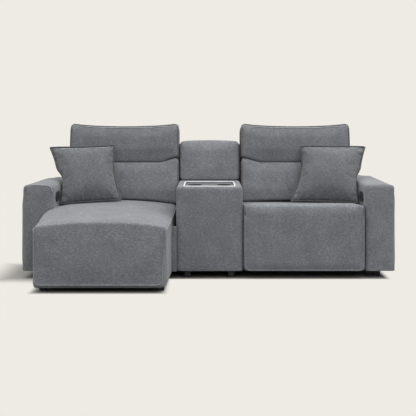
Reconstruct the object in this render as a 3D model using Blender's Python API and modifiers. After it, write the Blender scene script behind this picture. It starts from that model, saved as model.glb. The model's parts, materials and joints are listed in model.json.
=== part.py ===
# Reclining sectional sofa: chaise end, cup-holder console and power recliner end.
# Metres, +Z up, +X to the right seen from the front, the sitter faces -Y.
# Lengths called v run rearwards from the front plane of the arms.
import math

import bmesh
import bpy
from mathutils import Matrix, Vector
from mathutils.bvhtree import BVHTree

for old in list(bpy.data.objects):
    bpy.data.objects.remove(old, do_unlink=True)

# Fits
GAP = 0.0003
RUNNING_FIT = 0.0005
SIDE_CLEARANCE = 0.0075

# Widths of the modules, left to right
LEFT_ARM_W = 0.205
RIGHT_ARM_W = 0.185
BAY_W = 0.805
CONSOLE_W = 0.44

# Arms
ARM_LENGTH = 0.85
ARM_TOP = 0.612
ARM_CROWN = 0.012
ARM_ROUND = 0.036
ARM_WALL = 0.05
ARM_FRAME_TOP = 0.50
ARM_FRAME_RAIL = 0.07

# Depth lines, set back from the rear of the arms
REAR_RAIL_SETBACK = 0.07
PIVOT_SETBACK = 0.20
SEAT_REAR_SETBACK = 0.25
CONSOLE_REAR_SETBACK = 0.05
CONSOLE_PAD_SETBACK = 0.26
PILLOW_SETBACK = 0.455
CONNECTOR_SETBACK = 0.45

# Feet and base frames
FOOT_H = 0.05
FOOT_TOP_R = 0.036
FOOT_BOTTOM_R = 0.029
FOOT_INSET = 0.075
FOOT_BEVEL = 0.002
RAIL_W = 0.045
DECK_Z = 0.30
REAR_RAIL_T = 0.025
REAR_RAIL_TOP = 0.32

# Sinuous springs
SPRING_WIRE_R = 0.002
SPRING_HALF_W = 0.024
SPRING_PITCH = 0.05
SPRING_COUNT = 3

# Chaise
CHAISE_REACH = 0.50
CHAISE_OVER_ARM = 0.0475
CHAISE_RIGHT_INSET = 0.027
CHAISE_SKIRT_Z = 0.034
CHAISE_COVER_T = 0.014
CHAISE_PAD_T = 0.055
CHAISE_TOP = 0.458
CHAISE_CROWN = 0.016
CHAISE_FALL = 0.024
CHAISE_ROUND = 0.045

# Seats
SEAT_CROWN = 0.006
SEAT_TOP = 0.466
SEAT_ROUND = 0.05

# Backs: y is depth from the pivot, z runs up the raked back
PIVOT_Z = 0.335
RAKE = math.radians(14.0)
PIVOT_R = 0.010
BACK_FACE = 0.14
BACK_FRAME_T = 0.045
BACK_REAR = 0.09
BACK_FRAME_BOTTOM = 0.10
BACK_FRAME_TOP = 0.635
BACK_LEG_DROP = 0.018
BACK_LEG_W = 0.025
BACK_RAIL = 0.055
BACK_COLUMNS = 3
EAR_T = 0.012
EAR_HALF_V = 0.026
LUMBAR_BOTTOM = 0.118
CREASE = 0.385
CREASE_HALF_GAP = 0.011
BACK_TOP = 0.668
SHELL_BOTTOM = 0.045
BACK_ROUND = 0.04
LUMBAR_BULGE = 0.018
HEADREST_BULGE = 0.012
HEADREST_DIP = 0.010
HINGE_ROD_R = 0.006
HINGE_ROD_INSET = 0.045
HINGE_PLATE_T = 0.008
HINGE_NOSE_R = 0.00875
HINGE_SPACING = 0.44
HEADREST_PLATE_T = 0.010
HEADREST_SETBACK = 0.003

# Recliner glide, recline and cam pins
SEAT_GLIDE = 0.12
RECLINE = math.radians(30.0)
CAM_PIN_R = 0.007
CAM_PIN_UP = 0.173
CAM_PIN_REACH = 0.012
CAM_PLATE_T = 0.005
CAM_PLATE_HALF_V = 0.028
GUIDE_TOP = 0.185
BASE_RAIL_TOP = 0.16
BASE_FRONT_V = 0.12
SEAT_RAIL_W = 0.03
SEAT_FRAME_FRONT_V = 0.12
CROSS_RAIL_T = 0.03
FRONT_RAIL_BOTTOM = 0.25

# Footrest
RECLINER_PROUD = 0.02
FOOTREST_BOTTOM = 0.047
FOOTREST_PAD_T = 0.07
FOOTREST_BOARD_T = 0.015
FOOTREST_BOARD_BOTTOM = 0.08
FOOTREST_BOARD_DROP = 0.025
FOOTREST_BOARD_INSET = 0.07
FOOTREST_HINGE_V = 0.07
FOOTREST_HINGE_Z = 0.365
FOOTREST_TUBE_R = 0.009
FOOTREST_EAR_R = 0.016
FOOTREST_EAR_T = 0.01
FOOTREST_EAR_SPACING = 0.46
FOOTREST_SLIDE = 0.225
SPLIT_REAR_Z = 0.36
SPLIT_FRONT_Z = 0.42
NOTCH_Z = 0.388
NOTCH_V = 0.112
RUNNER_H = 0.035
RUNNER_W = 0.022
RUNNER_LIFT = 0.015
RUNNER_END_GAP = 0.07
RISER_T = 0.006
RISER_HALF_V = 0.015

# Linear actuators
ACTUATOR_R = 0.021
ACTUATOR_ROD_R = 0.010
ACTUATOR_Z = 0.2175
ACTUATOR_OFFSET = 0.12
ROD_ENGAGEMENT = 0.025
ROD_END_INSET = 0.012

# Console
CONSOLE_TOP = 0.604
CONSOLE_ROUND = 0.012
CONSOLE_WALL = 0.025
CONSOLE_LID = 0.13
CONSOLE_PAD_W = 0.43
CONSOLE_PAD_TOP = 0.885
CONSOLE_PAD_T = 0.13
CONSOLE_PAD_LEAN = 0.06
TRAY_W = 0.344
TRAY_FRONT_V = 0.04
TRAY_LENGTH = 0.43
TRAY_T = 0.012
TRAY_CORNER = 0.02
RECESS_DEPTH = 0.006
RECESS_RIM = 0.014
CUP_R = 0.040
CUP_WALL = 0.002
CUP_DEPTH = 0.085
CUP_FLANGE_W = 0.005
CUP_FLANGE_T = 0.0025
CUP_SPACING = 0.194
CUP_V = 0.13

# Control panels and push buttons
PANEL_L = 0.13
PANEL_H = 0.064
PANEL_T = 0.006
PANEL_V = 0.145
PANEL_Z = 0.53
BUTTON_R = 0.011
BUTTON_PROUD = 0.003
BUTTON_SPACING = 0.05
BUTTON_TRAVEL = 0.0015
BUTTON_POCKET = 0.004

# Throw pillows
PILLOW_SIZE = 0.47
PILLOW_T = 0.15
PILLOW_LEAN = math.radians(32.0)
PILLOW_YAW = math.radians(24.0)
PILLOW_ROLL = math.radians(1.0)
PILLOW_FROM_ARM = 0.189
PILLOW_DROP_FROM = 0.75
PILLOW_RIM = 0.2
PILLOW_WAIST = 0.07

# Module connectors
CONNECTOR_L = 0.16
CONNECTOR_W = 0.05
CONNECTOR_T = 0.004

# Derived lines
TOTAL_W = LEFT_ARM_W + RIGHT_ARM_W + 2 * BAY_W + CONSOLE_W
LEFT_X = -TOTAL_W / 2
RIGHT_X = TOTAL_W / 2
CHAISE_X0 = LEFT_X + LEFT_ARM_W
CHAISE_X1 = CHAISE_X0 + BAY_W
RECLINER_X0 = CHAISE_X1 + CONSOLE_W
RECLINER_X1 = RECLINER_X0 + BAY_W
CONSOLE_X = (CHAISE_X1 + RECLINER_X0) / 2
REAR_RAIL_V = ARM_LENGTH - REAR_RAIL_SETBACK
PIVOT_V = ARM_LENGTH - PIVOT_SETBACK
SEAT_REAR_V = ARM_LENGTH - SEAT_REAR_SETBACK
CONSOLE_DEPTH = ARM_LENGTH - CONSOLE_REAR_SETBACK
CONSOLE_PAD_V = ARM_LENGTH - CONSOLE_PAD_SETBACK
PILLOW_V = ARM_LENGTH - PILLOW_SETBACK
CONNECTOR_V = ARM_LENGTH - CONNECTOR_SETBACK
CUSHION_BOTTOM = DECK_Z + 2 * SPRING_WIRE_R + 2 * GAP
SEAT_FRAME_BOTTOM = GUIDE_TOP + GAP
RUNNER_REAR_V = SEAT_REAR_V - CROSS_RAIL_T - RUNNER_END_GAP


def collection(name):
    made = bpy.data.collections.new(name)
    bpy.context.scene.collection.children.link(made)
    return made


PARTS = collection("reclining_sectional_sofa")
CUTTERS = collection("cutters")


def material(name, colour, roughness, metallic=0.0):
    made = bpy.data.materials.new(name)
    made.use_nodes = True
    shader = made.node_tree.nodes["Principled BSDF"]
    shader.inputs["Base Color"].default_value = (*colour, 1.0)
    shader.inputs["Roughness"].default_value = roughness
    shader.inputs["Metallic"].default_value = metallic
    return made


FABRIC = ("woven fabric", (0.27, 0.29, 0.33), 0.92, 0.0)
WOOD = ("frame wood", (0.52, 0.38, 0.24), 0.65, 0.0)
STEEL = ("black steel", (0.05, 0.05, 0.055), 0.45, 0.8)
SPRING_STEEL = ("spring steel", (0.32, 0.32, 0.33), 0.35, 1.0)
CHROME = ("bright steel", (0.75, 0.75, 0.76), 0.18, 1.0)
BLACK_PLASTIC = ("black plastic", (0.02, 0.02, 0.022), 0.4, 0.0)
TRAY_FINISH = ("tray laminate", (0.16, 0.17, 0.19), 0.5, 0.0)


def empty(name, place, parent=None, tilt=0.0):
    made = bpy.data.objects.new(name, None)
    PARTS.objects.link(made)
    made.location = place
    made.rotation_euler.x = tilt
    made.parent = parent
    return made


def put(name, mesh, finish, parent):
    made = bpy.data.objects.new(name, mesh)
    PARTS.objects.link(made)
    made.parent = parent
    label, colour, roughness, metallic = finish
    mesh.materials.clear()
    mesh.materials.append(material(f"{name} {label}", colour, roughness, metallic))
    return made


def tool(target, mesh, operation):
    """Adds one Boolean step to a part, with its helper mesh in the same frame as the part."""
    helper = bpy.data.objects.new(f"{target.name}_{operation.lower()}", mesh)
    CUTTERS.objects.link(helper)
    helper.parent = target.parent
    helper.matrix_basis = target.matrix_basis
    helper.hide_render = True
    helper.display_type = "WIRE"
    step = target.modifiers.new(operation.title(), "BOOLEAN")
    step.operation = operation
    step.object = helper
    return target


def cut(target, mesh):
    return tool(target, mesh, "DIFFERENCE")


def fuse(target, mesh):
    return tool(target, mesh, "UNION")


def mesh_from(work, name):
    bmesh.ops.recalc_face_normals(work, faces=work.faces)
    mesh = bpy.data.meshes.new(name)
    work.to_mesh(mesh)
    work.free()
    return mesh


def box_mesh(lo, hi):
    work = bmesh.new()
    bmesh.ops.create_cube(work, size=1.0)
    low = Vector(lo)
    high = Vector(hi)
    bmesh.ops.scale(work, vec=high - low, verts=work.verts)
    bmesh.ops.translate(work, vec=(low + high) / 2, verts=work.verts)
    return mesh_from(work, "box")


def rod_mesh(start, end, radius, sides=20):
    work = bmesh.new()
    first = Vector(start)
    run = Vector(end) - first
    bmesh.ops.create_cone(work, cap_ends=True, segments=sides, radius1=radius, radius2=radius,
                          depth=run.length)
    turn = run.to_track_quat("Z", "Y").to_matrix().to_4x4()
    bmesh.ops.transform(work, matrix=Matrix.Translation(first + run / 2) @ turn, verts=work.verts)
    return mesh_from(work, "rod")


def curve_mesh(curve, place):
    """Turns a curve into a closed mesh, with its caps welded, at the place that a matrix gives."""
    holder = bpy.data.objects.new("curve", curve)
    CUTTERS.objects.link(holder)
    bpy.context.view_layer.update()
    graph = bpy.context.evaluated_depsgraph_get()
    mesh = bpy.data.meshes.new_from_object(holder.evaluated_get(graph))
    bpy.data.objects.remove(holder)
    work = bmesh.new()
    work.from_mesh(mesh)
    bmesh.ops.remove_doubles(work, verts=work.verts, dist=0.00001)
    bmesh.ops.transform(work, matrix=place, verts=work.verts)
    return mesh_from(work, "outline")


def outline_mesh(outlines, start, end, axis):
    """Extrudes flat outlines, holes included, between two stations along X, Y or Z."""
    curve = bpy.data.curves.new("outline", "CURVE")
    curve.dimensions = "2D"
    curve.fill_mode = "BOTH"
    curve.extrude = (end - start) / 2
    for outline in outlines:
        spline = curve.splines.new("POLY")
        spline.points.add(len(outline) - 1)
        for point, (a, b) in zip(spline.points, outline):
            point.co = (a, b, 0.0, 1.0)
        spline.use_cyclic_u = True
    middle = (start + end) / 2
    frames = {
        "X": Matrix(((0, 0, 1, middle), (1, 0, 0, 0), (0, 1, 0, 0), (0, 0, 0, 1))),
        "Y": Matrix(((1, 0, 0, 0), (0, 0, -1, middle), (0, 1, 0, 0), (0, 0, 0, 1))),
        "Z": Matrix(((1, 0, 0, 0), (0, 1, 0, 0), (0, 0, 1, middle), (0, 0, 0, 1))),
    }
    return curve_mesh(curve, frames[axis])


def lattice_mesh(xs, zs, front, rear, windows):
    """A slab over a grid of cells, with the window cells left open right through."""
    work = bmesh.new()
    corners = {}
    for i, x in enumerate(xs):
        for j, z in enumerate(zs):
            for y in (front, rear):
                corners[(i, j, y)] = work.verts.new((x, y, z))
    cells = [(i, j) for i in range(len(xs) - 1) for j in range(len(zs) - 1) if (i, j) not in windows]
    for i, j in cells:
        ring = [(i, j), (i + 1, j), (i + 1, j + 1), (i, j + 1)]
        work.faces.new([corners[(*place, front)] for place in ring])
        work.faces.new([corners[(*place, rear)] for place in reversed(ring)])
        neighbours = [(i, j - 1), (i + 1, j), (i, j + 1), (i - 1, j)]
        for start, end, neighbour in zip(ring, ring[1:] + ring[:1], neighbours):
            if neighbour not in cells:
                work.faces.new([corners[(*start, rear)], corners[(*end, rear)],
                                corners[(*end, front)], corners[(*start, front)]])
    return mesh_from(work, "lattice")


def wire_mesh(points, radius, resolution):
    curve = bpy.data.curves.new("wire", "CURVE")
    curve.dimensions = "3D"
    curve.bevel_depth = radius
    curve.bevel_resolution = resolution
    curve.use_fill_caps = True
    spline = curve.splines.new("POLY")
    spline.points.add(len(points) - 1)
    for point, place in zip(spline.points, points):
        point.co = (*place, 1.0)
    return curve_mesh(curve, Matrix.Identity(4))


def rectangle(a0, b0, a1, b1):
    return [(a0, b0), (a1, b0), (a1, b1), (a0, b1)]


def rounded(a0, b0, a1, b1, radius, steps=4):
    points = []
    corners = ((a1 - radius, b1 - radius, 0), (a0 + radius, b1 - radius, 90),
               (a0 + radius, b0 + radius, 180), (a1 - radius, b0 + radius, 270))
    for a, b, first in corners:
        for step in range(steps + 1):
            turn = math.radians(first + 90 * step / steps)
            points.append((a + radius * math.cos(turn), b + radius * math.sin(turn)))
    return points


def bevel(part, width, segments=2):
    step = part.modifiers.new("Bevel", "BEVEL")
    step.width = width
    step.segments = segments
    step.limit_method = "ANGLE"
    return part


def smooth(part, angle=40.0):
    part.data.shade_smooth()
    part.data.set_sharp_from_angle(angle=math.radians(angle))
    return part


def soft_part(name, lo, hi, edge, finish, parent, top=0.0, front=0.0, sides=0.0, cuts=3):
    """A stuffed block: a coarse cage with crowned top and front and drawn-in sides, subdivided once."""
    work = bmesh.new()
    bmesh.ops.create_cube(work, size=2.0)
    bmesh.ops.subdivide_edges(work, edges=work.edges, cuts=cuts, use_grid_fill=True)
    low = Vector(lo)
    half = (Vector(hi) - low) / 2
    inner = 1.0 - 2.0 / (cuts + 1)
    for vert in work.verts:
        unit = vert.co.copy()
        for axis in range(3):
            if abs(abs(unit[axis]) - inner) < 0.01:
                unit[axis] = math.copysign(max(1.0 - edge / half[axis], 0.35), unit[axis])
        across = 1.0 - unit.x ** 2
        along = 1.0 - unit.y ** 2
        up = 1.0 - unit.z ** 2
        place = low + half + Vector((unit.x * half.x, unit.y * half.y, unit.z * half.z))
        if unit.z > 0.99:
            place.z += top * across * along
        if unit.y < -0.99:
            place.y -= front * across * up
        if abs(unit.x) > 0.99:
            place.x -= math.copysign(sides * along * up, unit.x)
        vert.co = place
    made = put(name, mesh_from(work, name), finish, parent)
    step = made.modifiers.new("Soften", "SUBSURF")
    step.levels = 1
    step.render_levels = 1
    made.data.shade_smooth()
    return made


sofa = empty("sofa_base", (0, 0, 0))


def build_arm(side, x0, x1):
    cover = soft_part(f"{side}_arm_cover", (x0, 0.0, FOOT_H), (x1, ARM_LENGTH, ARM_TOP), ARM_ROUND,
                      FABRIC, sofa, top=ARM_CROWN, cuts=2)
    inner = (x0 + ARM_WALL, x1 - ARM_WALL)
    rear = ARM_LENGTH - ARM_WALL
    cut(cover, box_mesh((inner[0], ARM_WALL, FOOT_H - ARM_WALL), (inner[1], rear, ARM_FRAME_TOP)))
    rail = ARM_FRAME_RAIL
    middle = ARM_LENGTH / 2
    front = ARM_WALL + GAP
    back = rear - GAP
    top = ARM_FRAME_TOP - GAP
    windows = [rectangle(front + rail, FOOT_H + rail, middle - rail / 2, top - rail),
               rectangle(middle + rail / 2, FOOT_H + rail, back - rail, top - rail)]
    ladder = outline_mesh([rectangle(front, FOOT_H, back, top)] + windows,
                          inner[0] + GAP, inner[1] - GAP, "X")
    put(f"{side}_arm_frame", ladder, WOOD, sofa)


build_arm("left", LEFT_X, CHAISE_X0)
build_arm("right", RECLINER_X1, RIGHT_X)


def sinuous_spring(name, x, front, rear, z, parent):
    """A zig-zag seat spring: half rounds alternate from side to side along its length."""
    turns = int((rear - front) / SPRING_PITCH)
    step = (rear - front) / turns
    points = [(x, front, z)]
    for turn in range(turns):
        reach = SPRING_HALF_W if turn % 2 == 0 else -SPRING_HALF_W
        points.append((x + reach, front + step * (turn + 0.25), z))
        points.append((x + reach, front + step * (turn + 0.75), z))
    points.append((x, rear, z))
    return put(name, wire_mesh(points, SPRING_WIRE_R, 0), SPRING_STEEL, parent)


def spring_row(prefix, x0, x1, front, rear, parent):
    spacing = (x1 - x0) / (SPRING_COUNT + 1)
    for number in range(1, SPRING_COUNT + 1):
        sinuous_spring(f"{prefix}_spring_{number}", x0 + spacing * number, front, rear,
                       DECK_Z + GAP + SPRING_WIRE_R, parent)


def foot(name, x, v, top):
    work = bmesh.new()
    bmesh.ops.create_cone(work, cap_ends=True, segments=4, radius1=FOOT_BOTTOM_R, radius2=FOOT_TOP_R,
                          depth=top - GAP)
    place = Matrix.Translation((x, v, (top - GAP) / 2)) @ Matrix.Rotation(math.pi / 4, 4, "Z")
    bmesh.ops.transform(work, matrix=place, verts=work.verts)
    bevel(put(name, mesh_from(work, name), BLACK_PLASTIC, sofa), FOOT_BEVEL, 1)


# Chaise base: an L-shaped ladder frame, an upholstered border in front of the arms, and its feet
CHAISE_PX0 = CHAISE_X0 - CHAISE_OVER_ARM
CHAISE_PX1 = CHAISE_X1 - CHAISE_RIGHT_INSET
CHAISE_INNER_X0 = CHAISE_PX0 + CHAISE_COVER_T + GAP
CHAISE_INNER_X1 = CHAISE_PX1 - CHAISE_COVER_T - GAP
CHAISE_PAD_V = -CHAISE_REACH + CHAISE_PAD_T
CHAISE_FRAME_V = CHAISE_PAD_V + CHAISE_COVER_T + 2 * GAP
REAR_V = REAR_RAIL_V + REAR_RAIL_T


def build_chaise_base():
    outline = [(CHAISE_INNER_X0, CHAISE_FRAME_V), (CHAISE_INNER_X1, CHAISE_FRAME_V),
               (CHAISE_INNER_X1, 0.0), (CHAISE_X1 - GAP, 0.0), (CHAISE_X1 - GAP, REAR_V),
               (CHAISE_X0 + GAP, REAR_V), (CHAISE_X0 + GAP, -GAP), (CHAISE_INNER_X0, -GAP)]
    hole_x0 = CHAISE_X0 + RAIL_W
    hole_x1 = CHAISE_INNER_X1 - RAIL_W
    holes = [rectangle(hole_x0, CHAISE_FRAME_V + RAIL_W, hole_x1, -RAIL_W / 2),
             rectangle(hole_x0, RAIL_W / 2, hole_x1, SEAT_REAR_V - RAIL_W),
             rectangle(hole_x0, SEAT_REAR_V, hole_x1, REAR_RAIL_V)]
    frame = put("chaise_base_frame", outline_mesh([outline] + holes, FOOT_H, DECK_Z, "Z"), WOOD, sofa)
    fuse(frame, box_mesh((hole_x0, REAR_RAIL_V + GAP, DECK_Z - RAIL_W),
                         (hole_x1, REAR_V - GAP, REAR_RAIL_TOP)))
    for ear_x0 in (CHAISE_X0 + SIDE_CLEARANCE * 2, CHAISE_X1 - SIDE_CLEARANCE * 2 - EAR_T):
        ear = rounded(PIVOT_V - EAR_HALF_V, DECK_Z - EAR_HALF_V, PIVOT_V + EAR_HALF_V,
                      PIVOT_Z + EAR_HALF_V, EAR_HALF_V / 2)
        fuse(frame, outline_mesh([ear], ear_x0, ear_x0 + EAR_T, "X"))
    cut(frame, rod_mesh((CHAISE_X0, PIVOT_V, PIVOT_Z), (CHAISE_X1, PIVOT_V, PIVOT_Z), PIVOT_R + GAP))
    wall = CHAISE_COVER_T
    border = [(CHAISE_PX0, CHAISE_PAD_V + GAP), (CHAISE_PX1, CHAISE_PAD_V + GAP), (CHAISE_PX1, -GAP),
              (CHAISE_PX1 - wall, -GAP), (CHAISE_PX1 - wall, CHAISE_PAD_V + GAP + wall),
              (CHAISE_PX0 + wall, CHAISE_PAD_V + GAP + wall), (CHAISE_PX0 + wall, -GAP),
              (CHAISE_PX0, -GAP)]
    put("chaise_base_cover", outline_mesh([border], CHAISE_SKIRT_Z, DECK_Z, "Z"), FABRIC, sofa)
    spring_row("chaise", hole_x0, hole_x1, CHAISE_FRAME_V + RAIL_W / 2, SEAT_REAR_V - RAIL_W / 2, sofa)
    inset = FOOT_INSET
    foot("chaise_front_left_foot", CHAISE_INNER_X0 + inset / 2, CHAISE_FRAME_V + inset / 2, FOOT_H)
    foot("chaise_front_right_foot", CHAISE_INNER_X1 - inset / 2, CHAISE_FRAME_V + inset / 2, FOOT_H)


build_chaise_base()

chaise_seat = soft_part("chaise_seat_cushion", (CHAISE_PX0, -CHAISE_REACH, CUSHION_BOTTOM),
                        (CHAISE_PX1, SEAT_REAR_V, CHAISE_TOP), CHAISE_ROUND, FABRIC, sofa,
                        top=CHAISE_CROWN)
for vert in chaise_seat.data.vertices:
    forward = max(0.0, -vert.co.y) / CHAISE_REACH
    height = (vert.co.z - CUSHION_BOTTOM) / (CHAISE_TOP - CUSHION_BOTTOM)
    vert.co.z -= CHAISE_FALL * forward * height
cut(chaise_seat, box_mesh((LEFT_X, -GAP, 0), (CHAISE_X0 + GAP, REAR_V, ARM_TOP)))
soft_part("chaise_front_pad", (CHAISE_PX0, -CHAISE_REACH, CHAISE_SKIRT_Z),
          (CHAISE_PX1, CHAISE_PAD_V, CUSHION_BOTTOM - GAP), CHAISE_ROUND / 2, FABRIC, sofa, cuts=2)


def cam_path(steps=10):
    """Places of the fixed cam pin in the reclining back's own frame, while the pivot glides forward."""
    pin_v = CAM_PIN_UP * math.sin(RAKE)
    pin_z = CAM_PIN_UP * math.cos(RAKE)
    path = []
    for step in range(steps + 1):
        share = step / steps
        lean = RAKE + RECLINE * share
        along = pin_v + SEAT_GLIDE * share
        path.append((along * math.cos(lean) - pin_z * math.sin(lean),
                     along * math.sin(lean) + pin_z * math.cos(lean)))
    return path


def cam_slot_outline(radius, sides=6):
    """Outline of the cam slot: the pin's path widened to a radius, with round ends."""
    path = [Vector(place) for place in cam_path()]
    steps = [path[1] - path[0]] + [after - before for before, after in zip(path, path[1:])]
    normals = [Vector((step.y, -step.x)).normalized() for step in steps]
    near = [place + normal * radius for place, normal in zip(path, normals)]
    far = [place - normal * radius for place, normal in zip(path, normals)]
    half_turn = [math.pi * side / sides for side in range(1, sides)]
    top = math.atan2(normals[-1].y, normals[-1].x)
    bottom = math.atan2(-normals[0].y, -normals[0].x)
    top_end = [path[-1] + radius * Vector((math.cos(top + turn), math.sin(top + turn))) for turn in half_turn]
    bottom_end = [path[0] + radius * Vector((math.cos(bottom + turn), math.sin(bottom + turn)))
                  for turn in half_turn]
    return [tuple(place) for place in near + top_end + far[::-1] + bottom_end]


def hinge_nose(radius, y, z, steps=6):
    """Half round about a hinge line, facing forwards, from its top to its bottom."""
    turns = [math.pi / 2 + math.pi * step / steps for step in range(steps + 1)]
    return [(y + radius * math.cos(turn), z + radius * math.sin(turn)) for turn in turns]


def build_back(module, x0, x1, body, cam_slots):
    """Raked back: leg frame on a pivot rod, lumbar cushion, rear shell and a hinged headrest."""
    pivot = empty(f"{module}_back_pivot", (0, PIVOT_V, PIVOT_Z), body, -RAKE)
    side0 = x0 + SIDE_CLEARANCE
    side1 = x1 - SIDE_CLEARANCE
    middle = (x0 + x1) / 2
    frame_front = -BACK_FRAME_T / 2
    frame_rear = BACK_FRAME_T / 2
    leg0 = x0 + 2 * SIDE_CLEARANCE + EAR_T + RUNNING_FIT
    leg1 = x0 + x1 - leg0 - BACK_LEG_W
    column = (side1 - side0 - BACK_RAIL) / BACK_COLUMNS
    xs = [side0]
    for number in range(BACK_COLUMNS):
        low = side0 + BACK_RAIL + column * number
        xs += [low, low + column - BACK_RAIL]
    zs = [BACK_FRAME_BOTTOM, BACK_FRAME_BOTTOM + BACK_RAIL, CREASE - BACK_RAIL / 2, CREASE + BACK_RAIL / 2,
          BACK_FRAME_TOP - BACK_RAIL, BACK_FRAME_TOP]
    windows = [(2 * number + 1, row) for number in range(BACK_COLUMNS) for row in (1, 3)]
    frame = put(f"{module}_back_frame", lattice_mesh(xs + [side1], zs, frame_front, frame_rear, windows),
                WOOD, pivot)
    for leg in (leg0, leg1):
        fuse(frame, box_mesh((leg, frame_front + GAP, -BACK_LEG_DROP),
                             (leg + BACK_LEG_W, frame_rear - GAP, BACK_FRAME_BOTTOM + BACK_RAIL / 2)))
    cut(frame, rod_mesh((x0, 0, 0), (x1, 0, 0), PIVOT_R + RUNNING_FIT))
    if cam_slots:
        slot = cam_slot_outline(CAM_PIN_R + RUNNING_FIT)
        depth = CAM_PIN_REACH + SIDE_CLEARANCE
        cut(frame, outline_mesh([slot], x0, side0 + depth, "X"))
        cut(frame, outline_mesh([slot], side1 - depth, x1, "X"))
    rod_y = -BACK_FACE + HINGE_ROD_INSET
    hinge_xs = (middle - HINGE_SPACING / 2, middle + HINGE_SPACING / 2)
    for x in hinge_xs:
        nose = hinge_nose(HINGE_NOSE_R, rod_y, CREASE)
        fuse(frame, outline_mesh([nose + [(0.0, CREASE - HINGE_NOSE_R), (0.0, CREASE + HINGE_NOSE_R)]],
                                 x, x + HINGE_PLATE_T, "X"))
    cut(frame, rod_mesh((x0, rod_y, CREASE), (x1, rod_y, CREASE), HINGE_ROD_R + RUNNING_FIT, 12))
    ear = x0 + 2 * SIDE_CLEARANCE
    put(f"{module}_back_pivot_rod", rod_mesh((ear, PIVOT_V, PIVOT_Z),
        (x1 - 2 * SIDE_CLEARANCE, PIVOT_V, PIVOT_Z), PIVOT_R), STEEL, body)
    soft_part(f"{module}_back_cushion", (side0, -BACK_FACE, LUMBAR_BOTTOM),
              (side1, frame_front - GAP, CREASE - CREASE_HALF_GAP), BACK_ROUND, FABRIC, pivot,
              front=LUMBAR_BULGE)
    soft_part(f"{module}_back_shell", (side0, frame_rear + GAP, SHELL_BOTTOM),
              (side1, BACK_REAR, BACK_TOP), BACK_ROUND / 2, FABRIC, pivot, cuts=2)
    hinge = empty(f"{module}_headrest_hinge", (0, rod_y, CREASE), pivot)
    plate_rear = frame_front - HEADREST_SETBACK - rod_y
    plate_front = plate_rear - HEADREST_PLATE_T
    top = BACK_FRAME_TOP - CREASE
    rest = put(f"{module}_headrest_frame", box_mesh((side0 + BACK_RAIL, plate_front, CREASE_HALF_GAP),
               (side1 - BACK_RAIL, plate_rear, top)), STEEL, hinge)
    for x in hinge_xs:
        arm0 = x + HINGE_PLATE_T + RUNNING_FIT
        arm_top = CREASE_HALF_GAP + BACK_RAIL / 2
        arm = hinge_nose(HINGE_NOSE_R, 0.0, 0.0)
        arm += [(plate_rear - GAP, -HINGE_NOSE_R), (plate_rear - GAP, arm_top),
                (plate_front + GAP, arm_top), (plate_front + GAP, HINGE_NOSE_R)]
        fuse(rest, outline_mesh([arm], arm0, arm0 + HINGE_PLATE_T, "X"))
    fuse(rest, rod_mesh((hinge_xs[0] - HINGE_PLATE_T, 0, 0), (hinge_xs[1] + 3 * HINGE_PLATE_T, 0, 0),
                        HINGE_ROD_R, 12))
    soft_part(f"{module}_headrest_cushion", (side0, -HINGE_ROD_INSET, CREASE_HALF_GAP),
              (side1, plate_front - GAP, BACK_TOP - CREASE), BACK_ROUND, FABRIC, hinge,
              front=HEADREST_BULGE, top=-HEADREST_DIP, cuts=2)


build_back("chaise", CHAISE_X0, CHAISE_X1, sofa, False)

# Recliner base: side rails with guides, cross rails, and uprights that carry the cam pins
recliner_mid = (RECLINER_X0 + RECLINER_X1) / 2
seat_glide = empty("recliner_seat_glide", (0, 0, 0), sofa)


def mirror_x(x):
    return RECLINER_X0 + RECLINER_X1 - x


def mirrored(lo, hi):
    return (mirror_x(hi[0]), lo[1], lo[2]), (mirror_x(lo[0]), hi[1], hi[2])


def fuse_pair(part, lo, hi):
    fuse(part, box_mesh(lo, hi))
    fuse(part, box_mesh(*mirrored(lo, hi)))


def build_recliner_base():
    x0 = RECLINER_X0 + GAP
    x1 = RECLINER_X1 - GAP
    frame = put("recliner_base_frame", box_mesh((x0, REAR_RAIL_V, FOOT_H), (x1, REAR_V, REAR_RAIL_TOP)),
                WOOD, sofa)
    fuse_pair(frame, (x0 + GAP, BASE_FRONT_V, FOOT_H + GAP), (x0 + RAIL_W, REAR_V - GAP, GUIDE_TOP))
    fuse(frame, box_mesh((x0 + 2 * GAP, BASE_FRONT_V + GAP, FOOT_H + 2 * GAP),
                         (x1 - 2 * GAP, BASE_FRONT_V + RAIL_W, BASE_RAIL_TOP)))
    pin_v = PIVOT_V + CAM_PIN_UP * math.sin(RAKE)
    pin_z = PIVOT_Z + CAM_PIN_UP * math.cos(RAKE)
    fuse_pair(frame, (x0, pin_v - CAM_PLATE_HALF_V, GUIDE_TOP - RAIL_W),
              (x0 + CAM_PLATE_T, pin_v + CAM_PLATE_HALF_V, pin_z + CAM_PLATE_HALF_V))
    reach = SIDE_CLEARANCE + CAM_PIN_REACH
    fuse(frame, rod_mesh((x0 + CAM_PLATE_T / 2, pin_v, pin_z), (x0 + reach, pin_v, pin_z), CAM_PIN_R, 16))
    fuse(frame, rod_mesh((x1 - reach, pin_v, pin_z), (x1 - CAM_PLATE_T / 2, pin_v, pin_z), CAM_PIN_R, 16))


build_recliner_base()


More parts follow.
